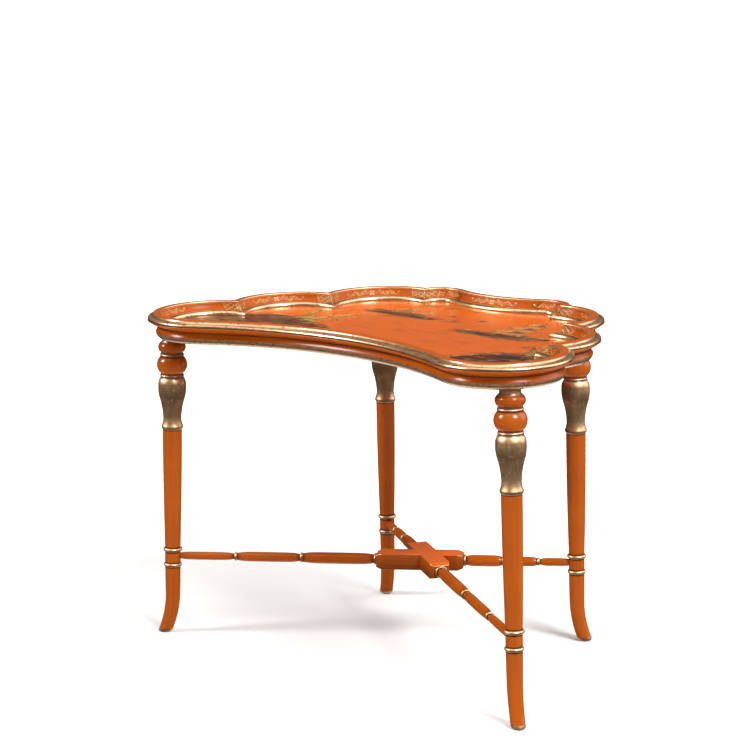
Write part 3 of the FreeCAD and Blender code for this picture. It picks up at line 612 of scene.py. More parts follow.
def board(arc):
    """Frame board: the section along the arc, closed behind by a parallel in front and straight lines
    elsewhere."""
    grid, grain = moulding(arc, frame_curve, FRAME_BASE)
    rows = len(grid)
    share = np.linspace(0, 1, rows)
    if arc is front:
        x, y = along_arc(front, share, np.full(rows, RAIL_WIDTH))
    else:
        first, last = BOARD_BACKS[arc]
        x, y = (first + share[:, None] * (last - first)).T
    top = np.stack([x, y, np.full(rows, FRAME_BASE + LEDGE)], axis=-1)
    bottom = top - [0, 0, LEDGE]
    inner = grain[:, [-1, -1]] + [RAIL_WIDTH, 0, 0]
    back = np.stack([top, bottom], axis=1)
    return np.concatenate([grid, back], axis=1), np.concatenate([grain, inner], axis=1)


cove_glaze = COVE_GLAZE * np.exp(-np.abs(frame_curve[:, 1] - COVE_TOP) / COVE_GLAZE_DEPTH)
frame_glaze = np.append(cove_glaze, BACK_GLAZE)
frame_boards = all_lengths(board)
for name in BOARD_ORDER:
    sheets = [sheet(grid, grain, frame_glaze) for grid, grain in frame_boards[name]]
    piece("stand_" + name, sheets, "stand", [rail_lacquer], ["frame_" + name])

# %% [markdown]
# ## The tray floor
# The floor is a thin panel glued and screwed under the gallery. Its edge is the outline drawn in under the
# wall. The flat top is a set of rings that shrink towards the middle, so that the dark glaze, with painted
# shade of the wall, can fade from the edge inwards, and its paint lies on it as separate strokes further
# down.

# %% Floor panel
PANEL_INSET = 28.0
FLOOR_THICKNESS = 8.0
PANEL_ORDER = ["front_rail", "end_right", "scallop_outer_right", "scallop_inner_right", "back_bow",
               "scallop_inner_left", "scallop_outer_left", "end_left"]
RING_SCALES = np.array([0.02, 0.5, 0.72, 0.84, 0.9, 0.94, 0.97])
# Dark glaze and painted shade of the wall, ring by ring from the middle to the edge
EDGE_SHADE_AND_GLAZE = np.array([0, 0, 0, 0.03, 0.08, 0.15, 0.24, 0.32, 0.4])
panel_line = np.array([[PANEL_INSET, 0.0], [PANEL_INSET, -FLOOR_THICKNESS]])
panel_lengths = edge_pieces(panel_line, TRAY_BASE)
rim_rows = np.concatenate([panel_lengths[name][0][:-1] for name in PANEL_ORDER])
panel_edge = np.swapaxes(rim_rows, 0, 1)
ring_factors = np.stack([RING_SCALES, RING_SCALES, np.ones(len(RING_SCALES))], axis=-1)
panel_grid = np.concatenate([panel_edge[0] * ring_factors[:, None], panel_edge])
panel = sheet(panel_grid, panel_grid[..., [1, 2, 0]], EDGE_SHADE_AND_GLAZE[:, None])
piece("floor_panel", [panel], "tray", [floor_lacquer], ["tray_floor"])

# %% [markdown]
# ## Legs
# Each leg is turned on a lathe: neck, cushion, bulb, vase, tapered shaft and two rings at the stretcher, with
# a toe that is bent outwards like a sabre. A lathe object is a circle carried along an axis with a changing
# radius, so the leg is one grid: rows down the axis, columns round it. Below the straight part the axis bends
# along an arc, and the last row is found where the bent tube meets the floor glide.

# %% Leg section
STRETCHER_LEVEL = 151.5
NECK_TOP = FRAME_BASE + 1.0 - STRETCHER_LEVEL
NECK_RADIUS = 24.2
GROOVE = 21.0
CUSHION_MIDDLE = 406.5
SHAFT_FOOT = 14.7
SHAFT_END = 14.0
TOE_START = -71.0
LACQUER, GILT = 0, 1
# End of each stretch, with the bend of its arc if it has one, and its finish, down from the frame
LEG_STRETCHES = [
    ((NECK_RADIUS, 429.0), GILT),
    ((GROOVE, 416.0, 18.4, 420.2), GILT),
    ((GROOVE, 397.0, 26.0, CUSHION_MIDDLE), LACQUER),
    ((GROOVE, 394.0), GILT),
    ((GROOVE, 389.5, 22.7, 391.7), GILT),
    ((GROOVE, 356.5, 28.6, 373.0), LACQUER),
    ((GROOVE, 354.5), GILT),
    ((GROOVE, 350.0, 22.6, 352.2), GILT),
    ((26.2, 333.9, 1.6), GILT),
    ((22.6, 305.6, 1.4), GILT),
    ((17.2, 273.4, -0.9), GILT),
    ((20.4, 255.2, -1.2), GILT),
    ((18.2, 249.2, 0.8), GILT),
    ((18.2, 246.0), LACQUER),
    ((14.8, 20.5, 0.7), LACQUER),
    ((SHAFT_FOOT, 16.7), LACQUER),
    ((SHAFT_FOOT, 9.7, 18.0, 13.2), GILT),
    ((SHAFT_FOOT, 6.3), LACQUER),
    ((SHAFT_FOOT, -10.1), LACQUER),
    ((SHAFT_FOOT, -13.5), LACQUER),
    ((SHAFT_FOOT, -20.5, 17.1, -17.0), GILT),
    ((14.65, -24.0), LACQUER),
    ((SHAFT_END, TOE_START), LACQUER),
]
leg_section = [(NECK_RADIUS, NECK_TOP)] + [corner for corner, finish in LEG_STRETCHES]
leg_curve, leg_stretch = section_curve(leg_section)
leg_finish = np.array([finish for corner, finish in LEG_STRETCHES])[leg_stretch[1:]]
# A hollow is where the radius falls short of the mean of the radii a little above and below
HOLLOW_REACH = 2.6
HOLLOW_DEPTH = 0.9
MOST_GLAZE = 0.95
radius, level = leg_curve.T
above, below = [np.interp(level + step, level[::-1], radius[::-1]) for step in (HOLLOW_REACH, -HOLLOW_REACH)]
leg_glaze_and_shade = np.clip(((above + below) / 2 - radius) / HOLLOW_DEPTH, 0, MOST_GLAZE)
# Painted shade with glaze: the cushion under the frame is darkened all round, for the shadow of the tray on
# it
CUSHION_HALF = 9.5
CUSHION_SHADE_AND_GLAZE = 0.22
on_cushion = np.abs(level - CUSHION_MIDDLE) < CUSHION_HALF
leg_glaze_and_shade = np.where(on_cushion, np.maximum(leg_glaze_and_shade, CUSHION_SHADE_AND_GLAZE), leg_glaze_and_shade)
print("leg rows", len(leg_curve))

# %% Leg surfaces
ROUND = 40
TOE_ROWS = 14
TOE_EDGE = 0.965
TOE_DROP = 80.5
TOE_KICK = 15.6
TOE_RADIUS = (TOE_DROP ** 2 + TOE_KICK ** 2) / (2 * TOE_KICK)
TOE_TIP = 12.6
TOE_GLAZE = 0.5
BEND_LIMITS = (0.05, 0.75)
HALVINGS = 40
GLIDE_THICKNESS = 2.0
SOLE_ROUND = 1.3
# Place of a right hand leg at the level of the stretcher, and its rake
FRONT_LEG = (408.0, -232.1, 0.033)
BACK_LEG = (232.2, 194.1, 0.007)
LEG_PLACES = {}
for end, (x, y, rake) in {"front": FRONT_LEG, "back": BACK_LEG}.items():
    LEG_PLACES[end + "_left"] = (-x, y, rake)
    LEG_PLACES[end + "_right"] = (x, y, rake)
crossing_share = FRONT_LEG[0] / (FRONT_LEG[0] + BACK_LEG[0])
CROSSING = np.array([0.0, FRONT_LEG[1] + (BACK_LEG[1] - FRONT_LEG[1]) * crossing_share])
turn_round = np.linspace(0, 2 * np.pi, ROUND, endpoint=False)


def diagonal(corner):
    """Axes of the bar at a leg: across it, upwards and along it to the crossing, and the length of that
    way."""
    towards = CROSSING - LEG_PLACES[corner][:2]
    length = np.hypot(*towards)
    x, y = towards / length
    return np.array([[-y, x, 0.0], [0.0, 0.0, 1.0], [x, y, 0.0]]), length


def leg_axes(corner):
    """Axes of a leg: outwards along its diagonal, sideways and up its raking axis."""
    across, up, towards = diagonal(corner)[0]
    lean = np.arctan(LEG_PLACES[corner][2])
    outwards = up * np.sin(lean) - towards * np.cos(lean)
    upwards = up * np.cos(lean) + towards * np.sin(lean)
    return np.stack([outwards, -across, upwards])


def turned(radius, way):
    """Grid of a turning: circles of the given radii round an axis, at the given ways along it."""
    x = radius[:, None] * np.cos(turn_round)
    y = radius[:, None] * np.sin(turn_round)
    return np.stack([x, y, np.broadcast_to(way[:, None], x.shape)], axis=-1)


def toe_points(bend, angle):
    """Points of the toe: a circle of tapering radius, square to an axis bent along an arc by the given
    angle."""
    whole = TOE_DROP / TOE_RADIUS
    radius = SHAFT_END + (TOE_TIP - SHAFT_END) * bend / whole
    centre = TOE_RADIUS * (1 - np.cos(bend))
    x = centre + radius * np.cos(angle) * np.cos(bend)
    y = radius * np.sin(angle)
    z = TOE_START - TOE_RADIUS * np.sin(bend) + radius * np.cos(angle) * np.sin(bend)
    return np.stack([x, y, z], axis=-1)


def leg(corner):
    """One leg: turned rows, then toe rows that end where the tube meets the glide, found by halving the
    bend."""
    axes = leg_axes(corner)
    place = [*LEG_PLACES[corner][:2], STRETCHER_LEVEL]
    low, high = [np.full(ROUND, limit) for limit in BEND_LIMITS]
    for halving in range(HALVINGS):
        bend = (low + high) / 2
        clear = (toe_points(bend, turn_round) @ axes)[:, 2] + STRETCHER_LEVEL > GLIDE_THICKNESS
        low = np.where(clear, bend, low)
        high = np.where(clear, high, bend)
    share = np.append(np.linspace(0, 1, TOE_ROWS)[1:-1], [TOE_EDGE, 1.0])[:, None]
    toe = toe_points(share * low, turn_round)
    outwards = toe[-1] - toe[-1].mean(axis=0)
    toe[-1] -= outwards * SOLE_ROUND / np.linalg.norm(outwards, axis=-1, keepdims=True)
    local = np.concatenate([turned(*leg_curve.T), toe])
    finish = np.append(leg_finish, np.full(len(toe), LACQUER))
    finish[-2:] = GILT
    glaze_and_shade = np.append(leg_glaze_and_shade, np.zeros(len(toe)))
    glaze_and_shade[-1] = TOE_GLAZE
    return sheet(local @ axes + place, local, glaze_and_shade[:, None], finish[:, None])


TURNING_FINISHES = [leg_lacquer, leaf_gilding]
for corner in LEG_PLACES:
    node = "leg_" + corner
    piece("turned_leg_" + corner, [leg(corner)], "stand", TURNING_FINISHES, [node])

# %% [markdown]
# ## Stretcher bars
# The four bars copy bamboo: three barrel-shaped lengths that pull in at their ends, with a small gilded ring
# between them. Each is a circle carried along a straight line. A barrel is a flat-topped curve, one minus the
# sixth power of the way from its middle, which keeps the length nearly straight and rounds only its ends.

# %% Bars
BLOCK_HALF = 82.0
LONG_SHIFT = {"front_left": 15.0, "back_right": -15.0}
BAR_START = 12.0
BAR_RADII = (7.6, 9.2, 10.9)
BARREL_ROWS = 18
BARREL_POWER = 6
NECK_IN = 2.6
NECK_GLAZE, NECK_GLAZE_POWER = 0.8, 24
RING_SHARES = (0.285, 0.62)
RING_ROWS = 8
RING_HALF = 2.6
RING_FOOT = 0.3
RING_RISE = 3.1
RING_GLAZE, RING_GLAZE_POWER = 0.7, 3


def bar_rows(finish):
    """Radius, way along, finish and glaze of the rows of a bar that ends at the given way from the leg."""
    run = finish - SHAFT_FOOT
    rings = [SHAFT_FOOT + run * share for share in RING_SHARES] + [finish - RING_HALF]
    share = np.linspace(0, 1, BARREL_ROWS)
    from_middle = np.abs(2 * share - 1)
    neck_glaze = NECK_GLAZE * from_middle ** NECK_GLAZE_POWER
    swell = np.linspace(0, np.pi, RING_ROWS)[1:-1]
    ring_glaze = RING_GLAZE * np.abs(np.cos(swell)) ** RING_GLAZE_POWER
    parts = []
    begin = BAR_START
    for full, ring in zip(BAR_RADII, rings):
        barrel = full - NECK_IN * from_middle ** BARREL_POWER
        barrel_way = begin + share * (ring - RING_HALF - begin)
        parts.append((barrel, barrel_way, np.full(BARREL_ROWS, LACQUER), neck_glaze))
        bead = full - NECK_IN + RING_FOOT + RING_RISE * np.sin(swell)
        parts.append((bead, ring - RING_HALF * np.cos(swell), np.full(len(swell), GILT), ring_glaze))
        begin = ring + RING_HALF
    return [np.concatenate(values) for values in zip(*parts)]


def bar(corner):
    """Stretcher bar from its leg to the end of the centre block on that diagonal."""
    axes, length = diagonal(corner)
    radius, way, finish, glaze_and_shade = bar_rows(length - BLOCK_HALF - LONG_SHIFT.get(corner, 0.0))
    local = turned(radius, way)
    x, y = LEG_PLACES[corner][:2]
    return sheet(local @ axes + [x, y, STRETCHER_LEVEL], local + [x, 0, 0], glaze_and_shade[:, None], finish[:-1, None])


for corner in LEG_PLACES:
    node = "stretcher_bar_" + corner
    piece("bamboo_bar_" + corner, [bar(corner)], "stand", TURNING_FINISHES, [node])

# %% [markdown]
# ## Centre blocks
# Two squared blocks cross in a half lap. Their solids already have the lap and the bevelled ends, so a merged
# copy of each gets softened edges from a Bevel modifier. The rubbed edges show gold, which the bevel faces
# carry as a second material; the tops get a paler lacquer as a painted sheen, which is a third, and the sides
# darken towards the bottom with painted shade and glaze.

# %% Blocks
EDGE_SOFTENING = 1.5
FLAT_ANGLE = np.radians(30)
SAME_PLANE = np.radians(1)
SAME_POINT = 1e-6
BLOCK_SHADE_AND_GLAZE = 0.7
FACING_UP = 0.9
SHEEN_TOP = 2
# Painted light: the tops get a paler, less glossy lacquer that stands in for the sheen and light on them
painted_sheen_lacquer = lacquer("painted_sheen_orange_lacquer", "#CB5F1F", "#B24E18", 5.0, 160.0, 70.0, 0.3, 0.3)


def softened_block(node, name, corner):
    """Copy of a block's solid with doubles merged and flat faces joined, a top in a paler lacquer as painted
    sheen, painted shade with glaze towards the bottom, and rounded, gilded edges."""
    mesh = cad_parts[node].data.copy()
    mesh.name = name
    work = bmesh.new()
    work.from_mesh(mesh)
    bmesh.ops.remove_doubles(work, verts=work.verts, dist=SAME_POINT)
    bmesh.ops.dissolve_limit(work, angle_limit=SAME_PLANE, verts=work.verts, edges=work.edges)
    work.to_mesh(mesh)
    work.free()
    mesh.materials.clear()
    normals = np.empty(len(mesh.polygons) * 3)
    mesh.polygons.foreach_get("normal", normals)
    mesh.polygons.foreach_set("material_index", np.where(normals[2::3] > FACING_UP, SHEEN_TOP, LACQUER))
    points = np.empty(len(mesh.vertices) * 3)
    mesh.vertices.foreach_get("co", points)
    points = points.reshape(-1, 3)
    level = points[:, 2]
    # Painted shade with glaze: the block is darker towards its bottom
    set_values(mesh, points @ diagonal(corner)[0].T, BLOCK_SHADE_AND_GLAZE * (level.max() - level) / np.ptp(level))
    made = set_on_frame(name, mesh, "stand", TURNING_FINISHES + [painted_sheen_lacquer], [node])
    edge = made.modifiers.new("softened_edges", "BEVEL")
    edge.width = EDGE_SOFTENING * MILLIMETRE
    edge.segments = 2
    edge.limit_method = "ANGLE"
    edge.angle_limit = FLAT_ANGLE
    edge.material = GILT


softened_block("stretcher_block_long", "centre_block_long", "front_left")
softened_block("stretcher_block_cross", "centre_block_cross", "front_right")

# %% [markdown]
# ## Painted and raised decoration
# The walls carry gold scrolls, a small flower in the middle of each lobe and a trellis panel beside each
# mitre. The tray floor has a lakeside scene in dark brown and gold, raised a hair above the lacquer as
# japanners do it. Each brush stroke is a thin lens: left edge, crown, right edge and a belly sunk in the
# ground, carried along a smooth path. An image would do this too, but strokes stay sharp from any distance
# and need no picture file.

# %% Paints
LINE_STREAKS = (2.4, 42.0)
SHORE_STREAKS = (8.0, 70.0)


def streaked_paint(name, ground_hex, streak_hex, metallic, roughness, low, high, streak=LINE_STREAKS):
    """Hand-mixed paint: a ground colour with level streaks of a second one, of the given width and length in
    mm."""
    material, tree, shader = new_material(name)
    place = add(tree, "ShaderNodeTexCoord", "Object", {})
    wide, long = streak
    squeeze = [GRIT_PER_METRE / size for size in (long, wide, wide)]
    lanes = add(tree, "ShaderNodeMapping", "Vector", {"Scale": squeeze, "Vector": place})
    streaks = add(tree, "ShaderNodeTexNoise", "Fac",
                  {"Scale": 1.0, "Detail": 4.0, "Roughness": 0.65, "Vector": lanes})
    tone = add(tree, "ShaderNodeMapRange", "Result", {"From Min": low, "From Max": high, "Value": streaks})
    colour = add(tree, "ShaderNodeMix", MIX_RESULT,
                 {"data_type": "RGBA", MIX_FIRST: linear(ground_hex), MIX_SECOND: linear(streak_hex),
                  MIX_FACTOR: tone})
    relief = add(tree, "ShaderNodeBump", "Normal", {"Strength": 0.2, "Distance": 0.0003, "Height": streaks})
    wire(shader, {"Base Color": colour, "Normal": relief, "Metallic": metallic, "Roughness": roughness})
    return material


# Shores are dark brown japanning with red streaks, lines are umber, gold is bronze powder in oil
shore_paint = streaked_paint("brown_japanning", "#200D06", "#9A3C0C", 0.0, 0.3, 0.5, 0.7, SHORE_STREAKS)
umber_paint = streaked_paint("umber_line_paint", "#2E1A0C", "#5E3A18", 0.0, 0.5, 0.4, 0.75)
gold_paint = streaked_paint("bronze_powder_paint", "#B99355", "#7A5524", 0.4, 0.42, 0.4, 0.75)
wall_gold = streaked_paint("pale_gold_size", "#BE975C", "#846434", 0.5, 0.5, 0.42, 0.7)
print("paints made")

# %% Strokes
STROKE_ROWS = 14
STROKE_ENDS = (0.02, 0.98)
FINEST = 0.12
BELLY = 0.35
CROWN = 0.22
HIGH_CROWN = 0.36
SHORTEST = 1e-9


def smooth_path(points, rows):
    """Evenly spaced points on the curve through the given ones: cubic pieces whose slopes follow the
    neighbours."""
    points = np.asarray(points, float)
    way = np.append(0, np.cumsum(np.hypot(*np.diff(points, axis=0).T)))
    slope = np.gradient(points, way, axis=0)
    at = np.linspace(0, way[-1], rows)
    left = np.clip(np.searchsorted(way, at, side="right") - 1, 0, len(way) - 2)
    step = (way[left + 1] - way[left])[:, None]
    share = (at - way[left])[:, None] / step
    bend = points[left] * (1 + 2 * share) * (1 - share) ** 2 + points[left + 1] * share ** 2 * (3 - 2 * share)
    lean = slope[left] * share * (1 - share) ** 2 - slope[left + 1] * share ** 2 * (1 - share)
    return bend + step * lean


def stroke(points, width, taper=0.5, lift=CROWN, rows=STROKE_ROWS):
    """Flat drawing of a stroke (rows, 4, 3): across the path, left edge, crown, right edge and belly. The
    width is one number thinned to both ends by a power of a sine, or a list of widths along the way."""
    path = smooth_path(points, rows)
    share = np.linspace(0, 1, rows)
    if np.ndim(width):
        wide = np.interp(share, np.linspace(0, 1, len(width)), width)
    else:
        wide = width * np.sin(np.pi * np.clip(share, *STROKE_ENDS)) ** taper
    half = np.maximum(wide, FINEST)[:, None] / 2
    along = np.gradient(path, axis=0)
    length = np.maximum(np.hypot(*along.T), SHORTEST)[:, None]
    square = np.stack([-along[:, 1], along[:, 0]], axis=-1) / length
    flat = np.stack([path + half * square, path, path - half * square, path], axis=1)
    height = np.broadcast_to([0.0, lift, 0.0, -BELLY], flat.shape[:2])
    return np.concatenate([flat, height[..., None]], axis=-1)


def laid(drawings, lay):
    """Sheets of drawings laid on a surface by a function of flat places."""
    grids = [lay(drawing) for drawing in drawings]
    return [sheet(grid, grid) for grid in grids]


print("a stroke has", STROKE_ROWS, "rows")

# %% [markdown]
# ### Ornament on the walls
# The wall of a lobe is unrolled into a flat band: the way along from its middle and the way up from the floor
# bead. The ornament is drawn on that band and then laid on the hollow wall, so it follows every curve and
# ends at the mitres.

# %% Wall bands
wall_line = section_curve(GALLERY_SECTION[-2:])[0][::-1]
wall_way = np.append(0, np.cumsum(np.hypot(*np.diff(wall_line, axis=0).T)))
WALL_LENGTH = wall_way[-1]
WALL_SQUARE = np.array([0.855, 0.518])
MIDDLE_INSET = 29.0
CURL_POINTS = 12


def on_wall(arc):
    """Function that lays a flat drawing (along, up, lift) on the wall of an arc."""
    length = arc_length(arc, MIDDLE_INSET)

    def lay(drawing):
        """Points on the wall: the way up sets inset and height, the way along sets the share of the arc."""
        up = np.clip(drawing[..., 1], 0, WALL_LENGTH)
        inset = np.interp(up, wall_way, wall_line[:, 0]) + WALL_SQUARE[0] * drawing[..., 2]
        height = np.interp(up, wall_way, wall_line[:, 1]) + WALL_SQUARE[1] * drawing[..., 2]
        x, y = along_arc(arc, 0.5 + drawing[..., 0] / length, inset)
        return np.stack([x, y, TRAY_BASE + height], axis=-1)

    return lay


def curl(x, y, size, start, turns):
    """Spiral as points for a stroke: the angle grows evenly while the radius falls to a fifth."""
    share = np.linspace(0, 1, CURL_POINTS)
    angle = start + turns * 2 * np.pi * share
    radius = size * (1 - 0.8 * share)
    return np.stack([x + radius * np.cos(angle), y + radius * np.sin(angle)], axis=-1)


def flower(x, y, size, petals, turn=0.0):
    """Round flower of fat petal strokes about a middle dot."""
    middle = np.array([x, y])
    drawn = [stroke([middle - [0.12 * size, 0], middle + [0.12 * size, 0]], 0.3 * size, 0.4, rows=5)]
    for angle in turn + np.arange(petals) * 2 * np.pi / petals:
        way = size * np.array([np.cos(angle), np.sin(angle)])
        petal = [middle + 0.25 * way, middle + 0.62 * way, middle + way]
        drawn.append(stroke(petal, 0.55 * size, 0.6, rows=7))
    return drawn


print("way up the wall", round(WALL_LENGTH, 1))

# %% Wall ornament
PANEL_GAP = 2.5
PANEL_LONG = 28.0
BAND_LOW, BAND_HIGH = 2.4, WALL_LENGTH - 2.0
BAND_MIDDLE = (BAND_LOW + BAND_HIGH) / 2
LINE_WIDE = 1.1
LINE_STEP = 5.0
EDGE_GAP = 1.0
FRAME_GAP = 0.8
INNER_LINE = 0.12
STEM = [(8, 0), (16, 4.2), (26, -4.0), (36, 3.8), (46, -2.4), (56, 0.8)]
CURLS = [(19, 0.4, 4.4, 1), (29, 0.2, 4.2, -1), (39, -0.2, 3.8, 1)]
LEAVES = [(12, 2, 4), (23, -1, -4), (33, 1, 4), (43, 0, -4), (51, 0, 3.4)]


def trellis(start, finish):
    """Panel beside a mitre: a double frame, two crossing diagonals and a diamond."""
    low, high = BAND_LOW + FRAME_GAP, BAND_HIGH - FRAME_GAP
    middle = (start + finish) / 2
    inner = start + INNER_LINE * (finish - start)
    lines = [[(place, low), (place, high)] for place in (start, inner, finish)]
    lines += [[(start, low), (finish, high)], [(start, high), (finish, low)]]
    for place in (start, finish):
        lines += [[(place, BAND_MIDDLE), (middle, level)] for level in (low, high)]
    return [stroke(line, LINE_WIDE, 0.15, rows=9) for line in lines]


def scroll(side):
    """Scrolling stem on one side of the flower, with curls above and below it and small leaves."""
    lines = [[(side * x, BAND_MIDDLE + y) for x, y in STEM]]
    for x, y, size, turn in CURLS:
        lines.append(curl(side * x, BAND_MIDDLE + y, size, turn * np.pi / 2, -1.3 * side * turn))
    drawn = [stroke(line, LINE_WIDE, 0.3, rows=22) for line in lines]
    for x, y, rise in LEAVES:
        reach = np.array([[0, y], [1.8, y + 0.7 * rise], [5.2, y + rise]])
        drawn.append(stroke((reach + [x, 0]) * [side, 1] + [0, BAND_MIDDLE], 2.0, 0.8, rows=7))
    return drawn


def wall_band(arc):
    """All ornament of one wall: border lines, flower, two scrolls, and trellis panels where it ends in a
    mitre."""
    half = arc_length(arc, MIDDLE_INSET) / 2
    edge = half - EDGE_GAP
    rows = int(half / LINE_STEP)
    levels = (BAND_LOW, BAND_HIGH)
    drawn = [stroke([(-edge, level), (edge, level)], 0.8, 0.02, rows=rows) for level in levels]
    drawn += flower(0, BAND_MIDDLE, 6.0, 4, np.pi / 4)
    drawn += scroll(1) + scroll(-1)
    for other, side in zip(NEIGHBOURS[arc], (-1, 1)):
        if other.side == arc.side:
            drawn += trellis(side * (half - PANEL_GAP), side * (half - PANEL_GAP - PANEL_LONG))
            drawn.append(stroke([(side * half, 0.4), (side * half, WALL_LENGTH - 0.2)], 2.0, 0.05, rows=9))
    return laid(drawn, on_wall(arc))


wall_sheets = wall_band(front) + wall_band(dip)
for arc in (end_lobe, outer_scallop, inner_scallop, hump):
    right_band = wall_band(arc)
    wall_sheets += right_band
    wall_sheets += [{**band, "points": band["points"] * [-1, 1, 1]} for band in right_band]
piece("wall_goldwork", wall_sheets, "tray", [wall_gold])

# %% [markdown]
# ### The lakeside scene
# The scene is a free design in the manner of old lacquer: a blossom tree on a dark headland, bamboo and rocks
# on the shore of the other lobe, a pagoda and pines on islets, far mountains and a few cranes over the water.
# Shores are wide sheets between two ragged lines; everything else is strokes. Random jitter makes it look
# drawn by hand and is seeded, so each run is the same.

# %% Shores
hand = np.random.default_rng(11)
shore = []
dark = []
gold = []
UNDER_BEAD = 31.0
OPEN_FLOOR = 39.5
SHORE_ROWS = 90
SHORE_LIFT = 0.16
EDGE_STROKES = 36
GOLD_STEP = 6


def on_floor(drawing):
    """Lays a flat drawing on the tray floor."""
    return drawing + [0, 0, TRAY_BASE]


def lobe_half(x, inset):
    """Half the depth of an end lobe, front to back, at a place along X."""
    return np.sqrt(np.maximum((end_lobe.radius - inset) ** 2 - (np.abs(x) - end_lobe.x) ** 2, 0))


def front_limit(x, inset):
    """Front edge of the floor at a place along X: the hollow of the front rail, then the end lobe."""
    touch = end_lobe.x * (front.radius + inset) / (front.radius + end_lobe.radius)
    hollow = front.y + np.sqrt((front.radius + inset) ** 2 - x ** 2)
    return np.where(np.abs(x) < touch, hollow, end_lobe.y - lobe_half(x, inset))


def back_limit(x, inset):
    """Back edge of an end lobe beyond the mitre that parts it from the next lobe; no limit before that."""
    mitre = along_arc(end_lobe, 1.0, inset)[0]
    return np.where(np.abs(x) > mitre, end_lobe.y + lobe_half(x, inset), np.inf)


def ragged(points, rows, jag):
    """Line through points given from left to right, shaken by seeded noise; returns its places and levels."""
    x = np.linspace(points[0][0], points[-1][0], rows)
    level = np.interp(x, *np.array(points, float).T)
    return x, level + hand.normal(0, jag, rows)


def bank(low_points, high_points, jag):
    """Dark shore between two ragged lines, cut off where it runs under the floor bead; its edges get loose
    level strokes and broken gold."""
    x, low = ragged(low_points, SHORE_ROWS, jag)
    high = ragged(high_points, SHORE_ROWS, jag)[1]
    low = np.maximum(low, front_limit(x, UNDER_BEAD))
    high = np.maximum(np.minimum(high, back_limit(x, UNDER_BEAD)), low + FINEST)
    share = np.array([0, 0.06, 0.5, 0.94, 1, 0.5])
    y = low[:, None] + share * (high - low)[:, None]
    height = np.broadcast_to([0, SHORE_LIFT, SHORE_LIFT, SHORE_LIFT, 0, -BELLY], y.shape)
    shore.append(np.stack([np.broadcast_to(x[:, None], y.shape), y, height], axis=-1))
    for line in (low, high):
        for spot in hand.integers(2, SHORE_ROWS - 2, EDGE_STROKES):
            middle = np.array([x[spot], line[spot]]) + hand.normal(0, 4, 2)
            reach = hand.uniform(8, 32)
            level_line = [middle - [reach, 0], middle, middle + [reach, 0]]
            dark.append(stroke(level_line, hand.uniform(2, 6), 0.8, rows=7))
        for start in range(2, SHORE_ROWS - GOLD_STEP - 1, GOLD_STEP):
            part = slice(start, start + GOLD_STEP)
            gold.append(stroke(np.stack([x[part], line[part]], axis=-1), 2.2, 0.3, HIGH_CROWN, 9))


bank([(205, -205), (428, -300)],
     [(205, -200), (222, -165), (246, -128), (284, -92), (330, -70), (372, -62), (428, -60)], 2.2)
bank([(-428, -300), (-330, -300), (-292, -190), (-244, -142), (-196, -112), (-132, -86)],
     [(-428, -60), (-372, -84), (-340, -52), (-296, -28), (-246, -30), (-200, -52), (-164, -74),
      (-132, -84)], 2.2)
bank([(76, 34), (120, 22), (190, 18), (250, 34), (276, 46)], [(76, 38), (130, 50), (200, 52), (276, 50)], 1.6)
bank([(-190, 104), (-150, 90), (-80, 88), (-34, 98)], [(-190, 108), (-140, 116), (-86, 114), (-34, 100)], 1.4)
bank([(-70, -150), (0, -156), (70, -152)], [(-70, -148), (-10, -138), (30, -140), (70, -150)], 1.0)
print("shores", len(shore))

# %% Plants and rocks


def hatch(centre_line, spread, count, long, wide, paint):
    """Loose level strokes scattered about a line, as for water or the streaks of a shore."""
    path = smooth_path(centre_line, count)
    for x, y in path + hand.normal(0, 1, path.shape) * spread:
        reach = long * hand.uniform(0.5, 1.2) / 2
        sag = hand.normal(0, 0.5)
        paint.append(stroke([(x - reach, y), (x, y + sag), (x + reach, y)], wide, 0.8, rows=7))


def tuft(x, y, tall, blades, paint):
    """Tuft of grass: blades that fan out from one root."""
    for angle in np.linspace(-0.9, 0.9, blades) + hand.normal(0, 0.08, blades):
        long = tall * hand.uniform(0.7, 1.1)
        tip = (x + long * np.sin(angle), y + long * np.cos(angle))
        bow = (x + 0.5 * long * np.sin(0.6 * angle), y + 0.55 * long * np.cos(0.6 * angle))
        paint.append(stroke([(x, y), bow, tip], 1.5, 0.8, rows=8))


ROCK_EDGES = [
    [(-0.48, 0), (-0.5, 0.4), (-0.28, 0.75), (0.06, 1.04)],
    [(0.48, 0), (0.46, 0.35), (0.34, 0.7), (0.08, 1.04)],
    [(-0.2, 0.25), (0, 0.37), (0.15, 0.2)],
    [(-0.2, 0.5), (0, 0.62), (0.15, 0.45)],
    [(-0.2, 0.7), (0, 0.82), (0.15, 0.65)],
]


def rock(x, y, wide, tall):
    """Standing garden rock: a dark body with gold outline and inner folds."""
    body = wide * np.array([0.9, 1, 0.75, 0.55, 0.2])
    dark.append(stroke([(x, y), (x + 0.05 * wide, y + tall)], body, rows=12))
    for edge in ROCK_EDGES:
        gold.append(stroke(np.array(edge) * [wide, tall] + [x, y], 1.5, 0.3, HIGH_CROWN))


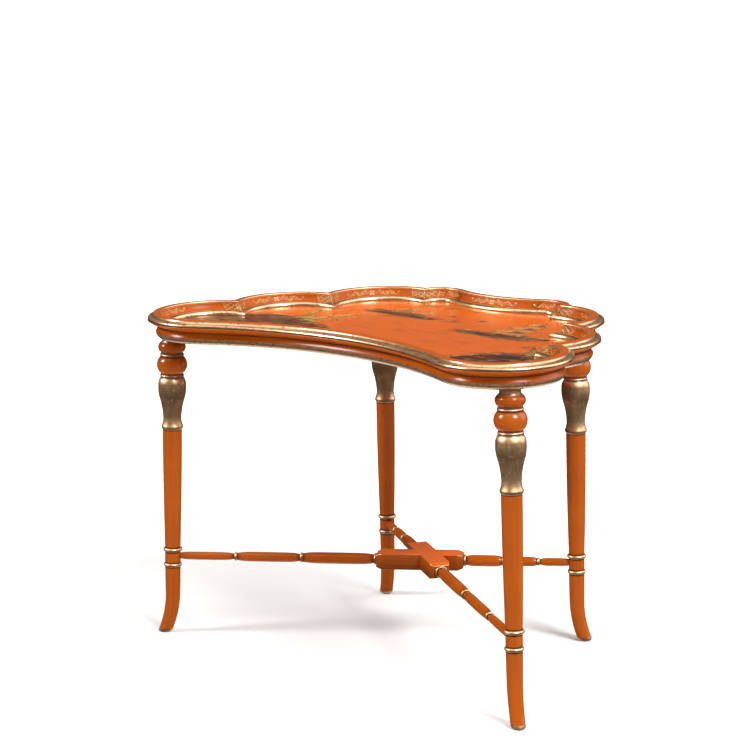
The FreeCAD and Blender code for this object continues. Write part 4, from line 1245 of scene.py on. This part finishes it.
def bough(start, angle, long, wide, forks, tips):
    """Crooked bough that forks: each fork turns away, shorter and thinner; its ends are noted for blossom."""
    bends = angle + hand.normal(0, 0.22, 4)
    steps = np.stack([np.cos(bends), np.sin(bends)], axis=-1) * long / 4
    points = np.concatenate([[start], np.array(start) + np.cumsum(steps, axis=0)])
    dark.append(stroke(points, [wide, 0.6 * wide]))
    gold.append(stroke(points + [0.22 * wide, 0.1 * wide], 0.22 * wide + 0.5, 0.5, HIGH_CROWN))
    tips += [points[-1], points[2]]
    if forks:
        for side in (1, -1):
            turn = side * hand.uniform(0.35, 0.75)
            bough(points[-1], angle + turn, long * 0.72, wide * 0.6, forks - 1, tips)
        bough(points[2], angle + hand.choice([-1, 1]) * 0.9, long * 0.55, wide * 0.45, forks - 1, tips)


def bamboo(x, y, tall, lean):
    """Bamboo cane of five joints with hanging leaves on its upper half."""
    joints = np.linspace(0, 1, 6)
    cane = np.stack([x + lean * joints ** 2 * tall, y + joints * tall], axis=-1)
    for low, high in zip(cane, cane[1:]):
        rise = high - low
        dark.append(stroke([low + 0.04 * rise, high], 3.4, 0.12, rows=6))
        glint = [low + 0.1 * rise + [0.8, 0], high - 0.06 * rise + [0.8, 0]]
        gold.append(stroke(glint, 1.1, 0.2, HIGH_CROWN, 6))
    for spot in cane[2:]:
        for angle in hand.uniform(-2.6, -0.5, 8):
            way = np.array([np.cos(angle), np.sin(angle)]) * hand.uniform(13, 24)
            root = spot + hand.normal(0, 3, 2)
            paint = gold if hand.random() < 0.45 else dark
            paint.append(stroke([root, root + 0.5 * way + [0, 1.5], root + way], 3.6, 0.9, rows=8))


def pine(x, y, tall, lean):
    """Pine: a leaning trunk and flat clouds of needles along it."""
    trunk = np.array([[x, y], [x + 0.4 * lean, y + 0.5 * tall], [x + lean, y + tall]])
    dark.append(stroke(trunk, [4.4, 1.4]))
    for share in (0.45, 0.65, 0.82, 1.0):
        middle = smooth_path(trunk, 21)[int(20 * share)] + [hand.normal(0, 5), 0]
        reach = tall * 0.34 * (1.3 - share)
        dark.append(stroke([middle - [reach, 2], middle + [0, 2], middle + [reach, -2]], 7.0, 0.5))
        for spot in np.linspace(-0.9, 0.9, 9):
            root = middle + [spot * reach, -1]
            gold.append(stroke([root, root + [1.5 * spot, 6]], 1.0, 0.7, HIGH_CROWN, 5))


# %% Buildings, mountains and birds


def roof(x, y, half, rise):
    """Pagoda roof: a sagging ridge to upturned eaves, its tiles as fanned lines."""
    eaves = np.array([(-1, 0.3), (-0.8, 0), (0, -0.1), (0.8, 0), (1, 0.3)]) * [half, rise] + [x, y]
    dark.append(stroke(eaves, 4.4, 0.25, rows=18))
    dark.append(stroke([(x, y), (x, y + rise)], half * np.array([1.5, 1.0, 0.62, 0.45]), rows=8))
    gold.append(stroke(eaves, 1.4, 0.2, HIGH_CROWN, 18))
    for share in np.linspace(-1, 1, 9):
        tile = [(x + 0.74 * half * share, y + 0.06 * rise), (x + 0.26 * half * share, y + 0.95 * rise)]
        gold.append(stroke(tile, 1.0, 0.3, HIGH_CROWN, 6))


def pagoda(x, y, tiers, half, storey):
    """Tower of storeys that narrow upwards, each with posts, a lattice and a roof."""
    for tier in range(tiers):
        wide = half * (1 - 0.2 * tier)
        low = y + tier * storey * 1.55
        for share in np.linspace(-0.62, 0.62, 5):
            dark.append(stroke([(x + share * wide, low), (x + share * wide, low + storey)], 2.6, 0.1, rows=5))
        for level in low + storey * np.array([0.25, 0.55, 0.85]):
            gold.append(stroke([(x - 0.62 * wide, level), (x + 0.62 * wide, level)], 1.1, 0.1, HIGH_CROWN, 6))
        roof(x, low + storey, wide, storey * 0.55)
    top = y + tiers * storey * 1.55
    dark.append(stroke([(x, top - 2), (x, top + 0.8 * storey)], 2.4, 0.6, rows=6))
    gold.extend(flower(x, top + 0.8 * storey, 3.0, 6))


def mountain(x, y, half, tall):
    """Far mountain: a jagged ridge line with hanging strokes of wash below it."""
    share = np.linspace(-1, 1, 9)
    crest = tall * (1 - np.abs(share) ** 1.3) * hand.uniform(0.75, 1.1, 9)
    ridge = np.stack([x + half * share, y + crest], axis=-1)
    dark.append(stroke(ridge, 2.4, 0.3, rows=26))
    for spot in smooth_path(ridge, 26)[2:-2]:
        drop = (spot[1] - y) * hand.uniform(0.3, 0.8)
        paint = gold if hand.random() < 0.5 else dark
        fall = [spot, spot + [hand.normal(0, 2), -0.5 * drop], spot + [hand.normal(0, 3), -drop]]
        paint.append(stroke(fall, 1.8, 0.9, rows=7))


def crane(x, y, size):
    """Flying crane: neck, body and legs in one sweep, and two wings of fanned feathers."""
    sweep = np.array([(-1, 0.1), (0, 0), (0.9, -0.12)]) * size + [x, y]
    dark.append(stroke(sweep, [0.6, 2.0, 4.4, 2.2, 0.8], rows=12))
    for rise, reach in ((1.0, -0.25), (0.85, 0.35)):
        for feather in np.linspace(-0.25, 0.3, 5):
            tip = (reach + feather, rise * (0.9 - abs(feather)))
            wing = np.array([(0, 0), (0.4 * reach, 0.5 * rise), tip])
            dark.append(stroke(wing * size + [x, y], 2.2, 0.7, rows=8))


# %% Laying out the scene
hatch([(405, -150), (240, -205)], (14, 24), 90, 30, 2.4, gold)
hatch([(-405, -150), (-200, -90)], (16, 20), 80, 28, 2.4, gold)
hatch([(100, 32), (250, 38)], (6, 6), 30, 18, 1.2, gold)
hatch([(-200, -30), (60, -20), (200, -70)], (60, 34), 46, 44, 1.0, dark)
hatch([(-150, 60), (20, 120)], (50, 20), 22, 40, 1.0, dark)
for x, y, wide, tall in [(396, -116, 26, 36), (360, -130, 19, 26), (-392, -150, 26, 34), (-362, -156, 18, 22),
                         (-218, -66, 24, 30), (-192, -78, 16, 18), (256, 44, 14, 20), (96, 40, 12, 15)]:
    rock(x, y, wide, tall)
for x, y in [(332, -140), (300, -158), (262, -176), (384, -200), (318, -222), (-340, -92), (-296, -66),
             (-262, -120), (-300, -150), (150, 44), (226, 42), (0, -142)]:
    tuft(x, y, hand.uniform(16, 28), 7, gold)
for x, tall, lean in [(344, 120, -0.3), (330, 96, -0.4), (352, 142, -0.24)]:
    bamboo(x, -112, tall, lean)
blossom = []
bough((-292, -70), 1.0, 66, 12.0, 3, blossom)
for tip in blossom:
    for spot in tip + hand.normal(0, 6.0, (2, 2)):
        gold.extend(flower(*spot, hand.uniform(2.6, 4.0), 5, hand.uniform(0, 1)))
pagoda(178, 46, 3, 50, 25)
for x, tall, lean in [(-150, 46, 12), (-120, 62, -14), (-84, 40, 16)]:
    pine(x, 104, tall, lean)
for x, half, tall in [(-150, 54, 34), (-88, 44, 24), (-36, 40, 16)]:
    mountain(x, 196, half, tall)
for x, y, size in [(20, 96, 19), (62, 128, 16), (-14, 138, 13)]:
    crane(x, y, size)
for x, y, size in [(314, -196, 10), (288, -184, 8), (340, -212, 9), (-330, -130, 9), (-352, -116, 7)]:
    gold.extend(flower(x, y, size, 8) + flower(x, y, 0.55 * size, 6, 0.3))
print("strokes drawn", len(dark), len(gold))

# %% Paint on the floor


def on_open_floor(drawing):
    """True where a drawing lies wholly inside the floor bead: within a lobe or the middle, off both hollow
    arcs."""
    x, y = np.abs(drawing[..., 0]), drawing[..., 1]
    lobes = (end_lobe, outer_scallop, inner_scallop, hump)
    within = x < np.interp(y, [lobe.y for lobe in lobes], [lobe.x for lobe in lobes])
    for lobe in lobes:
        within |= np.hypot(x - lobe.x, y - lobe.y) < lobe.radius - OPEN_FLOOR
    for arc in (front, dip):
        within &= np.hypot(x - arc.x, y - arc.y) > arc.radius + OPEN_FLOOR
    return within.all()


dark = [drawing for drawing in dark if on_open_floor(drawing)]
gold = [drawing for drawing in gold if on_open_floor(drawing)]
piece("floor_shores", laid(shore, on_floor), "tray", [shore_paint])
piece("floor_umberwork", laid(dark, on_floor), "tray", [umber_paint])
piece("floor_goldwork", laid(gold, on_floor), "tray", [gold_paint])

# %% [markdown]
# ## Stage, light and camera
# The table stands on a plain pale floor. Two broad soft lights stand left and right of the camera, which
# gives each round turning its pair of highlights, and a weak fill from the camera lights what lies under the
# tray. The world is a dark room with a few bright patches: a panel overhead, one behind on the right, a low
# backdrop, the floor below and behind, and a weak glow from the camera. The floor itself is left out of
# reflections, so that metal and lacquer mirror these patches and a dark room instead of endless white paper.
# The camera looks down a little from the front right with a long lens.

# %% Stage
FLOOR_HALF = 60.0
stage_mesh = bpy.data.meshes.new("studio_floor")
signs = np.array([(-1, -1, 0), (1, -1, 0), (1, 1, 0), (-1, 1, 0)])
stage_mesh.from_pydata((FLOOR_HALF * signs).tolist(), [], [(0, 1, 2, 3)])
stage_floor = put_in_scene("studio_floor", stage_mesh)
paper = new_material("studio_paper")
wire(paper[2], {"Base Color": linear("#D8D7D5"), "Roughness": 0.9})
stage_mesh.materials.append(paper[0])
stage_floor.visible_glossy = False
print("floor", 2 * FLOOR_HALF, "m wide")

# %% Camera
camera_right = np.array([0.75884, 0.65104, -0.01773])
camera_down = np.array([0.11862, -0.16492, -0.97915])
camera_forward = np.array([-0.64039, 0.74091, -0.20237])
camera_place = np.array([2.5313, -3.0324, 1.3311])


def placed(right, up, backward, place):
    """World matrix whose columns are three axes and a place."""
    columns = np.eye(4)
    columns[:3] = np.stack([right, up, backward, place], axis=-1)
    return Matrix(columns.tolist())


camera_data = bpy.data.cameras.new("camera")
camera_data.sensor_width = 36.0
camera_data.lens = 105.35
camera = put_in_scene("camera", camera_data)
camera.matrix_world = placed(camera_right, -camera_down, -camera_forward, camera_place)
bpy.context.scene.camera = camera
print("camera", round(np.linalg.norm(camera_place), 2), "m from the middle of the floor")

# %% World
DIM_SIDES = 0.04
towards_camera = -np.array([camera_forward[0], camera_forward[1], 0.0])
towards_camera = towards_camera / np.linalg.norm(towards_camera)
below_behind = -0.42 * towards_camera - [0.0, 0.0, 0.906]
# Direction of a patch, cosines of its angle where it begins and where it is full, and its strength
BRIGHT_PATCHES = [
    ((0.0, 0.0, 1.0), 0.79, 0.88, 2.0),
    ((-0.63, 0.73, 0.27), 0.93, 0.985, 0.07),
    (below_behind.tolist(), 0.74, 0.86, 1.1),
    ((0.55, 0.7, 0.45), 0.84, 0.95, 2.6),
    (towards_camera.tolist(), 0.1, 1.0, 0.05),
]
world = bpy.data.worlds.new("studio")
bpy.context.scene.world = world
world.use_nodes = True
world_tree = world.node_tree
sky = add(world_tree, "ShaderNodeTexCoord", "Generated", {})
glow = DIM_SIDES
for direction, begin, full, strength in BRIGHT_PATCHES:
    facing = add(world_tree, "ShaderNodeVectorMath", "Value",
                 {"operation": "DOT_PRODUCT", 0: sky, 1: direction})
    patch = add(world_tree, "ShaderNodeMapRange", "Result",
                {"From Min": begin, "From Max": full, "To Max": strength, "Value": facing})
    glow = add(world_tree, "ShaderNodeMath", "Value", {"operation": "ADD", 0: glow, 1: patch})
wire(world_tree.nodes["Background"], {"Strength": glow, "Color": linear("#FFFFFF")})
print("bright patches", len(BRIGHT_PATCHES))

# %% Lights


def soft_light(name, sideways, upwards, nearer, width, strength, in_mirrors=True):
    """Broad far light from a direction given along the camera's right, up and backward axes; one that is not
    seen in mirrors makes no highlights."""
    direction = sideways * camera_right - upwards * camera_down - nearer * camera_forward
    direction = direction / np.linalg.norm(direction)
    side = np.cross([0.0, 0.0, 1.0], direction)
    side = side / np.linalg.norm(side)
    data = bpy.data.lights.new(name, "SUN")
    data.energy = strength
    data.angle = np.radians(width)
    light = put_in_scene(name, data)
    light.matrix_world = placed(side, np.cross(direction, side), direction, (0.0, 0.0, 0.0))
    light.visible_glossy = in_mirrors


soft_light("left_soft_box", -0.856, 0.489, 0.167, 16, 3.0)
soft_light("right_soft_box", 0.44, 0.586, 0.679, 24, 4.0)
soft_light("front_fill", 0.15, -0.05, 0.98, 70, 0.8, False)
bpy.context.scene.view_settings.view_transform = "Standard"
print("stage set")
